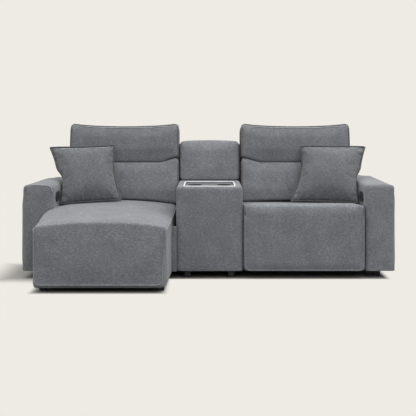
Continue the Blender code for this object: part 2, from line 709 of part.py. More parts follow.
def build_recliner_seat():
    rail0 = RECLINER_X0 + 2 * SIDE_CLEARANCE
    rail1 = rail0 + SEAT_RAIL_W
    rear = PIVOT_V + EAR_HALF_V
    frame = put("recliner_seat_frame",
                box_mesh((rail0, SEAT_REAR_V - CROSS_RAIL_T, SEAT_FRAME_BOTTOM),
                         (mirror_x(rail0), SEAT_REAR_V, DECK_Z)), STEEL, seat_glide)
    fuse_pair(frame, (rail0, SEAT_FRAME_FRONT_V, SEAT_FRAME_BOTTOM), (rail1, rear, DECK_Z))
    fuse(frame, box_mesh((rail0, SEAT_FRAME_FRONT_V, FRONT_RAIL_BOTTOM),
                         (mirror_x(rail0), SEAT_FRAME_FRONT_V + CROSS_RAIL_T, DECK_Z)))
    fuse_pair(frame, (rail0, PIVOT_V - EAR_HALF_V, SEAT_FRAME_BOTTOM),
              (rail0 + EAR_T, rear, PIVOT_Z + EAR_HALF_V))
    cut(frame, rod_mesh((RECLINER_X0, PIVOT_V, PIVOT_Z), (RECLINER_X1, PIVOT_V, PIVOT_Z), PIVOT_R + GAP))
    spring_row("recliner", rail1, mirror_x(rail1), SEAT_FRAME_FRONT_V + CROSS_RAIL_T / 2,
               SEAT_REAR_V - CROSS_RAIL_T / 2, seat_glide)


build_recliner_seat()

SEAT_X0 = RECLINER_X0 + SIDE_CLEARANCE
SEAT_X1 = RECLINER_X1 - SIDE_CLEARANCE
PAD_REAR_V = -RECLINER_PROUD + FOOTREST_PAD_T
SPLIT_SLOPE = (SPLIT_FRONT_Z - SPLIT_REAR_Z) / FOOTREST_PAD_T


def split_z(v):
    """Height of the slanted joint between the seat nose and the top of the footrest pad."""
    return SPLIT_REAR_Z + (PAD_REAR_V - v) * SPLIT_SLOPE


recliner_seat = soft_part("recliner_seat_cushion", (SEAT_X0, -RECLINER_PROUD, CUSHION_BOTTOM),
                          (SEAT_X1, SEAT_REAR_V, SEAT_TOP), SEAT_ROUND, FABRIC, seat_glide,
                          top=SEAT_CROWN)
notch_front_v = PAD_REAR_V - (NOTCH_Z - SPLIT_REAR_Z) / SPLIT_SLOPE
ahead = -RECLINER_PROUD - FOOTREST_PAD_T
cut(recliner_seat, outline_mesh([[(ahead, 0.0), (NOTCH_V, 0.0), (NOTCH_V, NOTCH_Z),
                                  (notch_front_v, NOTCH_Z), (ahead, split_z(ahead))]],
                                RECLINER_X0, RECLINER_X1, "X"))

# Footrest: a carriage that slides in the seat frame, and a padded board hinged on its front tube
carriage_slide = empty("footrest_carriage_slide", (0, 0, 0), seat_glide)
footrest_hinge = empty("footrest_hinge", (0, FOOTREST_HINGE_V, FOOTREST_HINGE_Z), carriage_slide)


def build_carriage():
    run0 = RECLINER_X0 + 2 * SIDE_CLEARANCE + SEAT_RAIL_W + GAP
    low = SEAT_FRAME_BOTTOM + RUNNER_LIFT
    high = low + RUNNER_H
    front = FOOTREST_HINGE_V - RISER_HALF_V
    riser_top = FOOTREST_HINGE_Z + RISER_HALF_V
    tube = (run0 + RISER_T / 2, mirror_x(run0) - RISER_T / 2)
    bar_rear = FOOTREST_HINGE_V + 2 * RISER_HALF_V
    runner = (run0, front, low), (run0 + RUNNER_W, RUNNER_REAR_V, high)
    carriage = put("footrest_carriage", box_mesh(*runner), STEEL, carriage_slide)
    fuse(carriage, box_mesh(*mirrored(*runner)))
    fuse_pair(carriage, (run0, front, low), (run0 + RISER_T, FOOTREST_HINGE_V + RISER_HALF_V, riser_top))
    fuse(carriage, box_mesh((run0, FOOTREST_HINGE_V + RISER_HALF_V - RISER_T, low),
                            (mirror_x(run0), bar_rear, high)))
    fuse(carriage, rod_mesh((tube[0], FOOTREST_HINGE_V, FOOTREST_HINGE_Z),
                            (tube[1], FOOTREST_HINGE_V, FOOTREST_HINGE_Z), FOOTREST_TUBE_R))
    return bar_rear


carriage_bar_rear = build_carriage()


def ear_outline(radius, drop, steps=8):
    """A tab with a round top about the hinge line and straight sides below it."""
    arc = [math.pi * step / steps for step in range(steps + 1)]
    top = [(radius * math.cos(turn), radius * math.sin(turn)) for turn in arc]
    return [(-radius, -drop), (radius, -drop)] + top


def build_footrest():
    board_front = PAD_REAR_V + GAP - FOOTREST_HINGE_V
    board_rear = board_front + FOOTREST_BOARD_T
    inset = FOOTREST_BOARD_INSET
    bottom = FOOTREST_BOARD_BOTTOM - FOOTREST_HINGE_Z
    board = put("footrest_board", box_mesh((RECLINER_X0 + inset, board_front, bottom),
                (RECLINER_X1 - inset, board_rear, -FOOTREST_BOARD_DROP)), WOOD, footrest_hinge)
    for x in (recliner_mid - FOOTREST_EAR_SPACING / 2, recliner_mid + FOOTREST_EAR_SPACING / 2):
        x0 = x - FOOTREST_EAR_T / 2
        x1 = x + FOOTREST_EAR_T / 2
        fuse(board, outline_mesh([ear_outline(FOOTREST_EAR_R, 2 * FOOTREST_BOARD_DROP)], x0, x1, "X"))
    cut(board, rod_mesh((RECLINER_X0, 0, 0), (RECLINER_X1, 0, 0), FOOTREST_TUBE_R + RUNNING_FIT))
    pad_front = -RECLINER_PROUD - FOOTREST_HINGE_V
    pad_rear = PAD_REAR_V - FOOTREST_HINGE_V
    pad = soft_part("footrest_pad", (SEAT_X0, pad_front, FOOTREST_BOTTOM - FOOTREST_HINGE_Z),
                    (SEAT_X1, pad_rear, SPLIT_FRONT_Z + FOOTREST_PAD_T - FOOTREST_HINGE_Z),
                    FOOTREST_PAD_T / 3, FABRIC, footrest_hinge, cuts=2)
    rise = GAP * 2
    high = split_z(ahead) - FOOTREST_HINGE_Z
    slant = [(pad_rear + FOOTREST_PAD_T, split_z(PAD_REAR_V + FOOTREST_PAD_T) - rise - FOOTREST_HINGE_Z),
             (pad_rear + FOOTREST_PAD_T, high), (ahead - FOOTREST_HINGE_V, high + FOOTREST_PAD_T),
             (ahead - FOOTREST_HINGE_V, high - rise)]
    cut(pad, outline_mesh([slant], RECLINER_X0, RECLINER_X1, "X"))


build_footrest()


def build_actuator(name, x, rear, rod_front, stroke, body, rod_body):
    """Linear drive: a barrel with a blind bore, and the bright rod that runs in it over its stroke."""
    rod_rear = rear - ROD_END_INSET
    front = rod_rear - stroke - ROD_ENGAGEMENT
    barrel = put(f"{name}_actuator_body",
                 rod_mesh((x, front, ACTUATOR_Z), (x, rear, ACTUATOR_Z), ACTUATOR_R), BLACK_PLASTIC, body)
    cut(barrel, rod_mesh((x, front - ROD_END_INSET, ACTUATOR_Z),
                         (x, rear - ROD_END_INSET / 2, ACTUATOR_Z), ACTUATOR_ROD_R + RUNNING_FIT, 16))
    smooth(barrel)
    rod = put(f"{name}_actuator_rod", rod_mesh((x, rod_front, ACTUATOR_Z), (x, rod_rear, ACTUATOR_Z),
              ACTUATOR_ROD_R, 16), CHROME, rod_body)
    smooth(rod)


build_actuator("footrest", recliner_mid - ACTUATOR_OFFSET, SEAT_REAR_V - CROSS_RAIL_T - GAP,
               carriage_bar_rear + GAP, FOOTREST_SLIDE, seat_glide, carriage_slide)
build_actuator("recline", recliner_mid + ACTUATOR_OFFSET, REAR_RAIL_V - GAP, SEAT_REAR_V + GAP,
               SEAT_GLIDE, sofa, seat_glide)
build_back("recliner", RECLINER_X0, RECLINER_X1, seat_glide, True)


def build_console():
    x0 = CHAISE_X1 + GAP
    x1 = RECLINER_X0 - GAP
    wall = CONSOLE_WALL
    body = bevel(put("console_body", box_mesh((x0, 0, FOOT_H), (x1, CONSOLE_DEPTH, CONSOLE_TOP)),
                     FABRIC, sofa), CONSOLE_ROUND, 2)
    cut(body, box_mesh((x0 + wall, wall, FOOT_H - wall),
                       (x1 - wall, CONSOLE_DEPTH - wall, CONSOLE_TOP - CONSOLE_LID)))
    tray_x0 = CONSOLE_X - TRAY_W / 2
    tray_x1 = CONSOLE_X + TRAY_W / 2
    tray_v1 = TRAY_FRONT_V + TRAY_LENGTH
    pocket = CONSOLE_TOP - TRAY_T - GAP
    seat = rounded(tray_x0 - GAP, TRAY_FRONT_V - GAP, tray_x1 + GAP, tray_v1 + GAP, TRAY_CORNER)
    cut(body, outline_mesh([seat], pocket, CONSOLE_TOP + TRAY_T, "Z"))
    plate = rounded(tray_x0, TRAY_FRONT_V, tray_x1, tray_v1, TRAY_CORNER)
    tray = put("console_tray", outline_mesh([plate], CONSOLE_TOP - TRAY_T, CONSOLE_TOP, "Z"),
               TRAY_FINISH, sofa)
    rim = RECESS_RIM
    cup_rear = CUP_V + CUP_R + CUP_FLANGE_W + rim
    recess = rounded(tray_x0 + rim, cup_rear, tray_x1 - rim, tray_v1 - rim, TRAY_CORNER / 2)
    cut(tray, outline_mesh([recess], CONSOLE_TOP - RECESS_DEPTH, CONSOLE_TOP + TRAY_T, "Z"))
    outer = CUP_R + CUP_WALL
    for side, x in (("left", CONSOLE_X - CUP_SPACING / 2), ("right", CONSOLE_X + CUP_SPACING / 2)):
        cut(tray, rod_mesh((x, CUP_V, CONSOLE_TOP - TRAY_T * 2),
                           (x, CUP_V, CONSOLE_TOP + TRAY_T), outer + GAP, 24))
        cut(body, rod_mesh((x, CUP_V, CONSOLE_TOP - CUP_DEPTH - CUP_WALL - GAP),
                           (x, CUP_V, CONSOLE_TOP + TRAY_T), outer + GAP, 24))
        turned_cup(f"{side}_cup_holder", x, CUP_V)
    lean = CONSOLE_PAD_LEAN
    pad = soft_part("console_back_pad", (CONSOLE_X - CONSOLE_PAD_W / 2, CONSOLE_PAD_V, CONSOLE_TOP + GAP),
                    (CONSOLE_X + CONSOLE_PAD_W / 2, CONSOLE_PAD_V + CONSOLE_PAD_T, CONSOLE_PAD_TOP),
                    BACK_ROUND, FABRIC, sofa, front=LUMBAR_BULGE / 2, cuts=2)
    height = CONSOLE_PAD_TOP - CONSOLE_TOP
    for vert in pad.data.vertices:
        vert.co.y += lean * (vert.co.z - CONSOLE_TOP) / height
    foot("console_front_left_foot", x0 + FOOT_INSET, FOOT_INSET, CONSOLE_TOP - CONSOLE_LID)
    foot("console_front_right_foot", x1 - FOOT_INSET, FOOT_INSET, CONSOLE_TOP - CONSOLE_LID)


def turned_cup(name, x, v):
    """A drop-in cup: flange on the tray, straight wall and flat floor, turned about its own axis."""
    outer = CUP_R + CUP_WALL
    rim = CONSOLE_TOP + CUP_FLANGE_T + GAP
    floor = CONSOLE_TOP - CUP_DEPTH
    profile = [(0.0, floor), (CUP_R, floor), (CUP_R, rim), (outer + CUP_FLANGE_W, rim),
               (outer + CUP_FLANGE_W, rim - CUP_FLANGE_T), (outer, rim - CUP_FLANGE_T),
               (outer, floor - CUP_WALL), (0.0, floor - CUP_WALL)]
    work = bmesh.new()
    verts = [work.verts.new((radius, 0.0, z)) for radius, z in profile]
    for first, second in zip(verts, verts[1:]):
        work.edges.new((first, second))
    bmesh.ops.spin(work, geom=work.verts[:] + work.edges[:], cent=(0, 0, 0), axis=(0, 0, 1),
                   angle=2 * math.pi, steps=24, use_merge=True)
    bmesh.ops.remove_doubles(work, verts=work.verts, dist=0.00001)
    bmesh.ops.translate(work, vec=(x, v, 0), verts=work.verts)
    return smooth(put(name, mesh_from(work, name), BLACK_PLASTIC, sofa))


build_console()


def build_panel(side, face_x, inward):
    """Oval control panel on an arm's inner face, with two round push buttons in blind pockets."""
    half = PANEL_H / 2
    outline = rounded(PANEL_V - PANEL_L / 2, PANEL_Z - half, PANEL_V + PANEL_L / 2, PANEL_Z + half,
                      half - GAP, 5)
    near = face_x + inward * GAP
    far = near + inward * PANEL_T
    panel = put(f"{side}_control_panel", outline_mesh([outline], min(near, far), max(near, far), "X"),
                BLACK_PLASTIC, sofa)
    for number, v in ((1, PANEL_V - BUTTON_SPACING / 2), (2, PANEL_V + BUTTON_SPACING / 2)):
        inner = far - inward * BUTTON_POCKET
        outer = far + inward * BUTTON_PROUD
        cut(panel, rod_mesh((inner, v, PANEL_Z), (outer, v, PANEL_Z), BUTTON_R + RUNNING_FIT, 12))
        axis = empty(f"{side}_button_{number}_axis", (inner, v, PANEL_Z), sofa)
        stem = inward * (BUTTON_TRAVEL + RUNNING_FIT)
        knob = rod_mesh((stem, 0, 0), (outer - inner, 0, 0), BUTTON_R, 12)
        smooth(put(f"{side}_button_{number}", knob, CHROME, axis))


build_panel("left", CHAISE_X0, 1)
build_panel("right", RECLINER_X1, -1)

foot("left_arm_rear_foot", LEFT_X + LEFT_ARM_W / 2, ARM_LENGTH - 2 * FOOT_INSET, FOOT_H)
foot("right_arm_front_foot", RIGHT_X - RIGHT_ARM_W / 2, FOOT_INSET + ARM_WALL, FOOT_H)
foot("right_arm_rear_foot", RIGHT_X - RIGHT_ARM_W / 2, ARM_LENGTH - 2 * FOOT_INSET, FOOT_H)


def connector(name, x):
    """Flat steel plate that ties two modules together under their rails."""
    top = FOOT_H - GAP
    put(name, box_mesh((x - CONNECTOR_L / 2, CONNECTOR_V, top - CONNECTOR_T),
                       (x + CONNECTOR_L / 2, CONNECTOR_V + CONNECTOR_W, top)), STEEL, sofa)


connector("chaise_connector", CHAISE_X1)
connector("recliner_connector", RECLINER_X0)


def world_tree(part):
    graph = bpy.context.evaluated_depsgraph_get()
    mesh = part.evaluated_get(graph).to_mesh()
    places = [part.matrix_world @ vert.co for vert in mesh.vertices]
    faces = [tuple(face.vertices) for face in mesh.polygons]
    return BVHTree.FromPolygons(places, faces), places


def build_pillow(name, x, side, seat, body):
    """Square throw pillow with thin drawn-in edges, lowered until it rests on its seat."""
    half = PILLOW_SIZE / 2
    pillow = soft_part(name, (-half, -PILLOW_T / 2, -half), (half, PILLOW_T / 2, half), PILLOW_SIZE / 6,
                       FABRIC, body)
    for vert in pillow.data.vertices:
        u = vert.co.x / half
        w = vert.co.z / half
        swell = math.sqrt(max(0.0, 1.0 - u ** 2) * max(0.0, 1.0 - w ** 2))
        vert.co.y *= PILLOW_RIM + (1.0 - PILLOW_RIM) * swell
        vert.co.x *= 1.0 - PILLOW_WAIST * (1.0 - w ** 2)
        vert.co.z *= 1.0 - PILLOW_WAIST * (1.0 - u ** 2)
    pillow.location = (x, PILLOW_V, PILLOW_DROP_FROM)
    pose = Matrix.Rotation(side * PILLOW_YAW, 3, "Z") @ Matrix.Rotation(-PILLOW_LEAN, 3, "X")
    pillow.rotation_euler = (pose @ Matrix.Rotation(-side * PILLOW_ROLL, 3, "Y")).to_euler()
    bpy.context.view_layer.update()
    seat_tree, _ = world_tree(seat)
    _, places = world_tree(pillow)
    drops = []
    for place in places:
        hit = seat_tree.ray_cast(place, Vector((0, 0, -1)))
        if hit[0] is not None:
            drops.append(hit[3])
    pillow.location.z -= min(drops) - 2 * GAP


build_pillow("chaise_pillow", CHAISE_X0 + PILLOW_FROM_ARM, 1, chaise_seat, sofa)
build_pillow("recliner_pillow", RECLINER_X1 - PILLOW_FROM_ARM, -1, recliner_seat, seat_glide)

# The sofa stands centred over its own footprint
bpy.context.view_layer.update()
depths = [place.y for part in PARTS.objects if part.type == "MESH" for place in world_tree(part)[1]]
sofa.location.y = -(min(depths) + max(depths)) / 2
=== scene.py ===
import json
import math

import bmesh
import bpy
import numpy as np
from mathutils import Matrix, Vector
from mathutils.bvhtree import BVHTree


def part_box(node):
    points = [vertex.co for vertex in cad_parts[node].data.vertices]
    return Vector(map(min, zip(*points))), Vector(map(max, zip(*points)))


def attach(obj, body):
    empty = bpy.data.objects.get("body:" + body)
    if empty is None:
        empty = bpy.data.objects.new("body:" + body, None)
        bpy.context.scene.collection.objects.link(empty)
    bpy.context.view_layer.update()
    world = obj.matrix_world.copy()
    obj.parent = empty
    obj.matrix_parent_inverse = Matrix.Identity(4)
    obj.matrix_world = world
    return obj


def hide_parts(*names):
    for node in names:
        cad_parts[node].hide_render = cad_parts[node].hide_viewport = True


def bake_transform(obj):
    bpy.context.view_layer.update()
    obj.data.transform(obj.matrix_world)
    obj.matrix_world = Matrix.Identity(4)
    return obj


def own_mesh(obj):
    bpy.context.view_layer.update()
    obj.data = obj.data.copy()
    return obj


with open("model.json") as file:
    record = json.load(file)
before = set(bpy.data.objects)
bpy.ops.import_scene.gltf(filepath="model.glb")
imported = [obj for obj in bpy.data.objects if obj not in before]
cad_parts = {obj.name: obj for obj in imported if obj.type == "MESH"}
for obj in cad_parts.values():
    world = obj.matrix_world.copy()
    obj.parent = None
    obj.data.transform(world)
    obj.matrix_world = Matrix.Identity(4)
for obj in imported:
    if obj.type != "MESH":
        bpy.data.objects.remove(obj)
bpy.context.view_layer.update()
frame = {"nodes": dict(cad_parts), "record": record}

scene = bpy.context.scene
scene.view_settings.view_transform = "Standard"
nodes = frame["nodes"]

# where the modules meet, in metres; depths called v run back from the arms' front plane
lines = {"left": -1.22, "chaise0": -1.015, "chaise1": -0.21, "recliner0": 0.23, "recliner1": 1.035,
         "right": 1.22, "side": 0.0075, "gap": 0.0003, "floorClear": 0.05, "deck": 0.3046, "past": 0.1}
lines["y0"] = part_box("console_body")[0][1]
lines["console"] = (lines["chaise1"] + lines["recliner0"]) / 2


# one value in a node tree: + - * / between values or numbers add Math nodes
class Val:
    def __init__(self, tree, socket):
        self.tree = tree
        self.socket = socket

    def maths(self, operation, first, second):
        return self.add("ShaderNodeMath", {"operation": operation}, {0: first, 1: second})

    # any node: its type, its settings, then the values or links of its sockets
    def add(self, kind, settings=None, sockets=None, out=0):
        node = self.tree.nodes.new(kind)
        for key, value in (settings or {}).items():
            if key == "stops":
                ramp = node.color_ramp
                while len(ramp.elements) < len(value):
                    ramp.elements.new(0.5)
                for stop, (place, colour) in zip(ramp.elements, value):
                    stop.position = place
                    stop.color = (*colour, 1.0)
            else:
                setattr(node, key, value)
        for key, value in (sockets or {}).items():
            if isinstance(value, Val):
                self.tree.links.new(value.socket, node.inputs[key])
            else:
                node.inputs[key].default_value = value
        return Val(self.tree, node.outputs[out])

    def __add__(self, other):
        return self.maths("ADD", self, other)

    def __radd__(self, other):
        return self.maths("ADD", other, self)

    def __sub__(self, other):
        return self.maths("SUBTRACT", self, other)

    def __rsub__(self, other):
        return self.maths("SUBTRACT", other, self)

    def __mul__(self, other):
        return self.maths("MULTIPLY", self, other)

    def __rmul__(self, other):
        return self.maths("MULTIPLY", other, self)

    def __truediv__(self, other):
        return self.maths("DIVIDE", self, other)

    def __rtruediv__(self, other):
        return self.maths("DIVIDE", other, self)


# a new material: its shader's fixed values are set straight on the sockets
def newFinish(name, fixed):
    made = bpy.data.materials.new(name)
    made.use_nodes = True
    tree = made.node_tree
    shader = tree.nodes["Principled BSDF"]
    for key, value in fixed.items():
        shader.inputs[key].default_value = value
    coords = tree.nodes.new("ShaderNodeTexCoord")
    place = Val(tree, coords.outputs["Object"])
    return made, tree, shader, place


def feed(tree, value, shader, socket):
    tree.links.new(value.socket, shader.inputs[socket])


# noise at a pitch in metres, stretched along the axes given
def grain(place, pitch, stretch=(1, 1, 1), detail=2.0, rough=0.5):
    scaled = place.add("ShaderNodeVectorMath", {"operation": "MULTIPLY"},
                       {0: place, 1: tuple(1.0 / (pitch * s) for s in stretch)})
    return place.add("ShaderNodeTexNoise", {},
                     {"Vector": scaled, "Scale": 1.0, "Detail": detail, "Roughness": rough})


weave = {"dark": (0.066, 0.069, 0.076), "mid": (0.135, 0.142, 0.153), "light": (0.246, 0.256, 0.272),
         "stops": (0.30, 0.50, 0.70), "thread": 0.0016, "weft": (4.0, 4.0, 0.8), "warp": (0.8, 0.8, 4.0),
         "slub": 0.009, "slubRun": (1.6, 1.6, 0.7), "cloud": 0.12, "shares": (0.40, 0.46, 0.14),
         "sheen": 0.18, "sheenRough": 0.45, "specular": 0.25, "rough": 0.98, "roughFall": 0.16,
         "bump": 0.5, "bumpDepth": 0.0012, "bumpShares": (0.8, 0.5)}


# woven upholstery: two crossed thread noises give the weave, slubs fleck its colour, a broad cloud shades it
def fabricFinish(name, tone=1.0):
    fixed = {"Sheen Weight": weave["sheen"], "Sheen Roughness": weave["sheenRough"],
             "Specular IOR Level": weave["specular"]}
    made, tree, shader, place = newFinish(name, fixed)
    weft = grain(place, weave["thread"], weave["weft"])
    warp = grain(place, weave["thread"], weave["warp"])
    slub = grain(place, weave["slub"], weave["slubRun"], 3.0, 0.6)
    cloud = grain(place, weave["cloud"])
    threads = (weft + warp) * 0.5
    ofThreads, ofSlub, ofCloud = weave["shares"]
    value = threads * ofThreads + slub * ofSlub + cloud * ofCloud
    shades = [tuple(c * tone for c in weave[k]) for k in ("dark", "mid", "light")]
    colour = value.add("ShaderNodeValToRGB", {"stops": list(zip(weave["stops"], shades))}, {0: value})
    feed(tree, colour, shader, "Base Color")
    feed(tree, weave["rough"] - threads * weave["roughFall"], shader, "Roughness")
    ofThreads, ofSlub = weave["bumpShares"]
    bump = threads.add("ShaderNodeBump", {}, {"Strength": weave["bump"], "Distance": weave["bumpDepth"],
                                              "Height": threads * ofThreads + slub * ofSlub})
    feed(tree, bump, shader, "Normal")
    return made


wood = {"stops": [(0.30, (0.030, 0.020, 0.013)), (0.55, (0.062, 0.042, 0.028)),
                  (0.75, (0.105, 0.072, 0.048))],
        "fibre": 0.004, "fibreRun": (14, 14, 1.0), "ring": 0.05, "ringRun": (6, 6, 1.0),
        "shares": (0.55, 0.45), "specular": 0.3, "rough": 0.55, "roughRise": 0.3,
        "bump": 0.25, "bumpDepth": 0.001}


# dark stained timber: long stretched grain with darker rings
def woodFinish(name):
    made, tree, shader, place = newFinish(name, {"Specular IOR Level": wood["specular"]})
    fibres = grain(place, wood["fibre"], wood["fibreRun"], 4.0, 0.6)
    rings = grain(place, wood["ring"], wood["ringRun"])
    ofFibres, ofRings = wood["shares"]
    value = fibres * ofFibres + rings * ofRings
    colour = value.add("ShaderNodeValToRGB", {"stops": wood["stops"]}, {0: value})
    feed(tree, colour, shader, "Base Color")
    feed(tree, wood["rough"] + fibres * wood["roughRise"], shader, "Roughness")
    relief = value.add("ShaderNodeBump", {}, {"Strength": wood["bump"], "Distance": wood["bumpDepth"],
                                              "Height": fibres})
    feed(tree, relief, shader, "Normal")
    return made


speckle = {"wear": 0.05, "shares": (0.6, 0.4), "stops": (0.3, 0.7), "roughSpread": 0.24, "bumpDepth": 0.0005}


# metal or moulded plastic: a fine speckle moves the colour and the gloss a little
def hardFinish(name, dark, light, rough, metallic, pitch=0.004, stretch=(1, 1, 1), bump=0.08):
    made, tree, shader, place = newFinish(name, {"Metallic": metallic})
    speck = grain(place, pitch, stretch, 3.0, 0.6)
    wear = grain(place, speckle["wear"], detail=3.0)
    ofSpeck, ofWear = speckle["shares"]
    mix = speck * ofSpeck + wear * ofWear
    stops = list(zip(speckle["stops"], (dark, light)))
    colour = mix.add("ShaderNodeValToRGB", {"stops": stops}, {0: mix})
    feed(tree, colour, shader, "Base Color")
    spread = speckle["roughSpread"]
    feed(tree, (rough - spread / 2) + mix * spread, shader, "Roughness")
    relief = mix.add("ShaderNodeBump", {},
                     {"Strength": bump, "Distance": speckle["bumpDepth"], "Height": speck})
    feed(tree, relief, shader, "Normal")
    return made


fabric = fabricFinish("blue grey weave")
weltFabric = fabricFinish("welt weave", 0.58)
hemFabric = fabricFinish("hem weave", 1.25)
pillowFabric = fabricFinish("pillow weave", 0.70)
pipingFabric = fabricFinish("piping weave", 0.42)
# a much lighter copy of the weave, for thin cords whose colour paints a highlight along lit top edges
highlightFabric = fabricFinish("painted highlight weave", 1.9)
# a darker copy of the weave for the headrests: painted shade, as they look darker than the lumbar cushions
shadedHeadFabric = fabricFinish("shaded headrest weave", 0.89)
timber = woodFinish("stained hardwood")
blackPaint = hardFinish("black painted steel", (0.012, 0.012, 0.013), (0.035, 0.035, 0.038), 0.42, 0.4)
springWire = hardFinish("oiled spring wire", (0.16, 0.16, 0.165), (0.34, 0.34, 0.35), 0.38, 1.0,
                        0.003, (1, 6, 1))
brightSteel = hardFinish("polished steel", (0.62, 0.62, 0.63), (0.78, 0.78, 0.79), 0.2, 1.0,
                         0.002, (1, 8, 1), 0.03)
darkSteel = hardFinish("dark button steel", (0.05, 0.05, 0.052), (0.10, 0.10, 0.104), 0.36, 0.9, 0.002)
# pale matt trim: its colour paints the bright highlight along the tray's rim
paleHighlightTrim = hardFinish("pale highlight trim", (0.74, 0.74, 0.75), (0.84, 0.84, 0.85), 0.55, 0.0, 0.003, (1, 1, 1), 0.0)
blackPlastic = hardFinish("matt black plastic", (0.010, 0.010, 0.011), (0.028, 0.028, 0.031), 0.45, 0.0,
                          0.0012)
laminate = hardFinish("grey tray laminate", (0.085, 0.090, 0.100), (0.150, 0.158, 0.170), 0.34, 0.0, 0.002)
print("finishes ready")

carried = {"frame_wood": timber, "black_steel": blackPaint, "spring_steel": springWire,
           "bright_steel": brightSteel, "black_plastic": blackPlastic, "tray_laminate": laminate,
           "fabric": fabric}
for part in frame["record"]["subparts"]:
    mesh = nodes[part["node"]].data
    mesh.materials.clear()
    mesh.materials.append(darkSteel if "button" in part["node"] else carried[part["material_slot"]])

# the photograph's view: level camera, horizon above the middle of the frame
view = {"pixels": 416, "focal": 907.0, "horizon": 118.0, "away": 5.96, "height": 1.0555, "sensor": 36.0}
camera = bpy.data.objects.new("camera", bpy.data.cameras.new("camera"))
scene.collection.objects.link(camera)
camera.data.sensor_width = view["sensor"]
camera.data.lens = view["focal"] / view["pixels"] * view["sensor"]
camera.data.shift_y = (view["horizon"] - view["pixels"] / 2) / view["pixels"]
camera.location = (0, lines["y0"] - view["away"], view["height"])
camera.rotation_euler = (math.pi / 2, 0, 0)
scene.camera = camera

# soft light: a sky that brightens upwards, a broad lamp above and to the right, a weak fill from the front
studio = {"cream": (0.855, 0.831, 0.776), "sky": (0.99, 0.99, 0.985), "skyPower": 2.7, "horizon": 0.04,
          "key": {"at": (2.3, 0.1, 2.5), "to": (0.7, 0.0, 0.5), "size": 1.8, "power": 19,
                  "tint": (1.0, 0.985, 0.96)},
          "fill": {"at": (1.3, -4.6, 3.4), "to": (0.2, 0, 0.5), "size": 3.6, "power": 87,
                   "tint": (1.0, 1.0, 1.0)}}
world = bpy.data.worlds.new("studio")
scene.world = world
world.use_nodes = True
worldTree = world.node_tree
worldTree.nodes.clear()
rays = worldTree.nodes.new("ShaderNodeLightPath")
seen = Val(worldTree, rays.outputs["Is Camera Ray"]) + Val(worldTree, rays.outputs["Is Glossy Ray"]) \
    + Val(worldTree, rays.outputs["Is Transmission Ray"])
aim = worldTree.nodes.new("ShaderNodeTexCoord")
split = seen.add("ShaderNodeSeparateXYZ", {}, {0: Val(worldTree, aim.outputs["Generated"])}, out=2)
upward = split.maths("MAXIMUM", split, 0.0)
level = (upward * (1.0 - studio["horizon"]) + studio["horizon"]) * studio["skyPower"]
skyShade = seen.add("ShaderNodeBackground", {}, {"Color": (*studio["sky"], 1), "Strength": level})
paper = seen.add("ShaderNodeBackground", {}, {"Color": (*studio["cream"], 1), "Strength": 1.0})
both = seen.add("ShaderNodeMixShader", {}, {0: seen, 1: skyShade, 2: paper})
worldOut = worldTree.nodes.new("ShaderNodeOutputWorld")
worldTree.links.new(both.socket, worldOut.inputs["Surface"])


def lamp(name, setup):
    light = bpy.data.lights.new(name, "AREA")
    light.size = setup["size"]
    light.energy = setup["power"]
    light.color = setup["tint"]
    made = bpy.data.objects.new(name, light)
    scene.collection.objects.link(made)
    made.location = setup["at"]
    made.rotation_euler = (Vector(setup["to"]) - Vector(setup["at"])).to_track_quat("-Z", "Y").to_euler()


lamp("key lamp", studio["key"])
lamp("fill lamp", studio["fill"])


# quads over a grid of points, wrapped round where a direction is closed
def gridFaces(rows, cols, wrapRows=False, wrapCols=False):
    i, j = np.meshgrid(np.arange(rows if wrapRows else rows - 1),
                       np.arange(cols if wrapCols else cols - 1), indexing="ij")
    i, j = i.ravel(), j.ravel()
    nextI, nextJ = (i + 1) % rows, (j + 1) % cols
    return np.stack([i * cols + j, nextI * cols + j, nextI * cols + nextJ, i * cols + nextJ], axis=1)


# a mesh object at the origin from points and faces, its normals turned outwards
def meshPiece(name, points, faces, finish=None, outward=True):
    mesh = bpy.data.meshes.new(name)
    places = np.asarray(points, float).reshape(-1, 3).tolist()
    mesh.from_pydata(places, [], [list(map(int, f)) for f in faces])
    if outward:
        work = bmesh.new()
        work.from_mesh(mesh)
        bmesh.ops.recalc_face_normals(work, faces=work.faces)
        work.to_mesh(mesh)
        work.free()
    mesh.shade_smooth()
    if finish:
        mesh.materials.append(finish)
    made = bpy.data.objects.new(name, mesh)
    scene.collection.objects.link(made)
    return made


# the floor's shaded boxes: x and y from, x and y to, and the width over which each melts away; inside them the
# floor is darker than the backdrop's cream, a painted shadow added to the real one
floorSet = {"reach": 40.0, "drop": -0.0004, "shadowAlbedo": (0.27, 0.263, 0.246), "bounce": 0.65,
            "shadowBoxes": ((-1.22, -0.185, 1.16, 0.45, 0.05),
                      (-1.05, -0.685, -0.285, 0.0, 0.05),
                      (-1.27, -0.15, -1.2, 0.25, 0.26))}
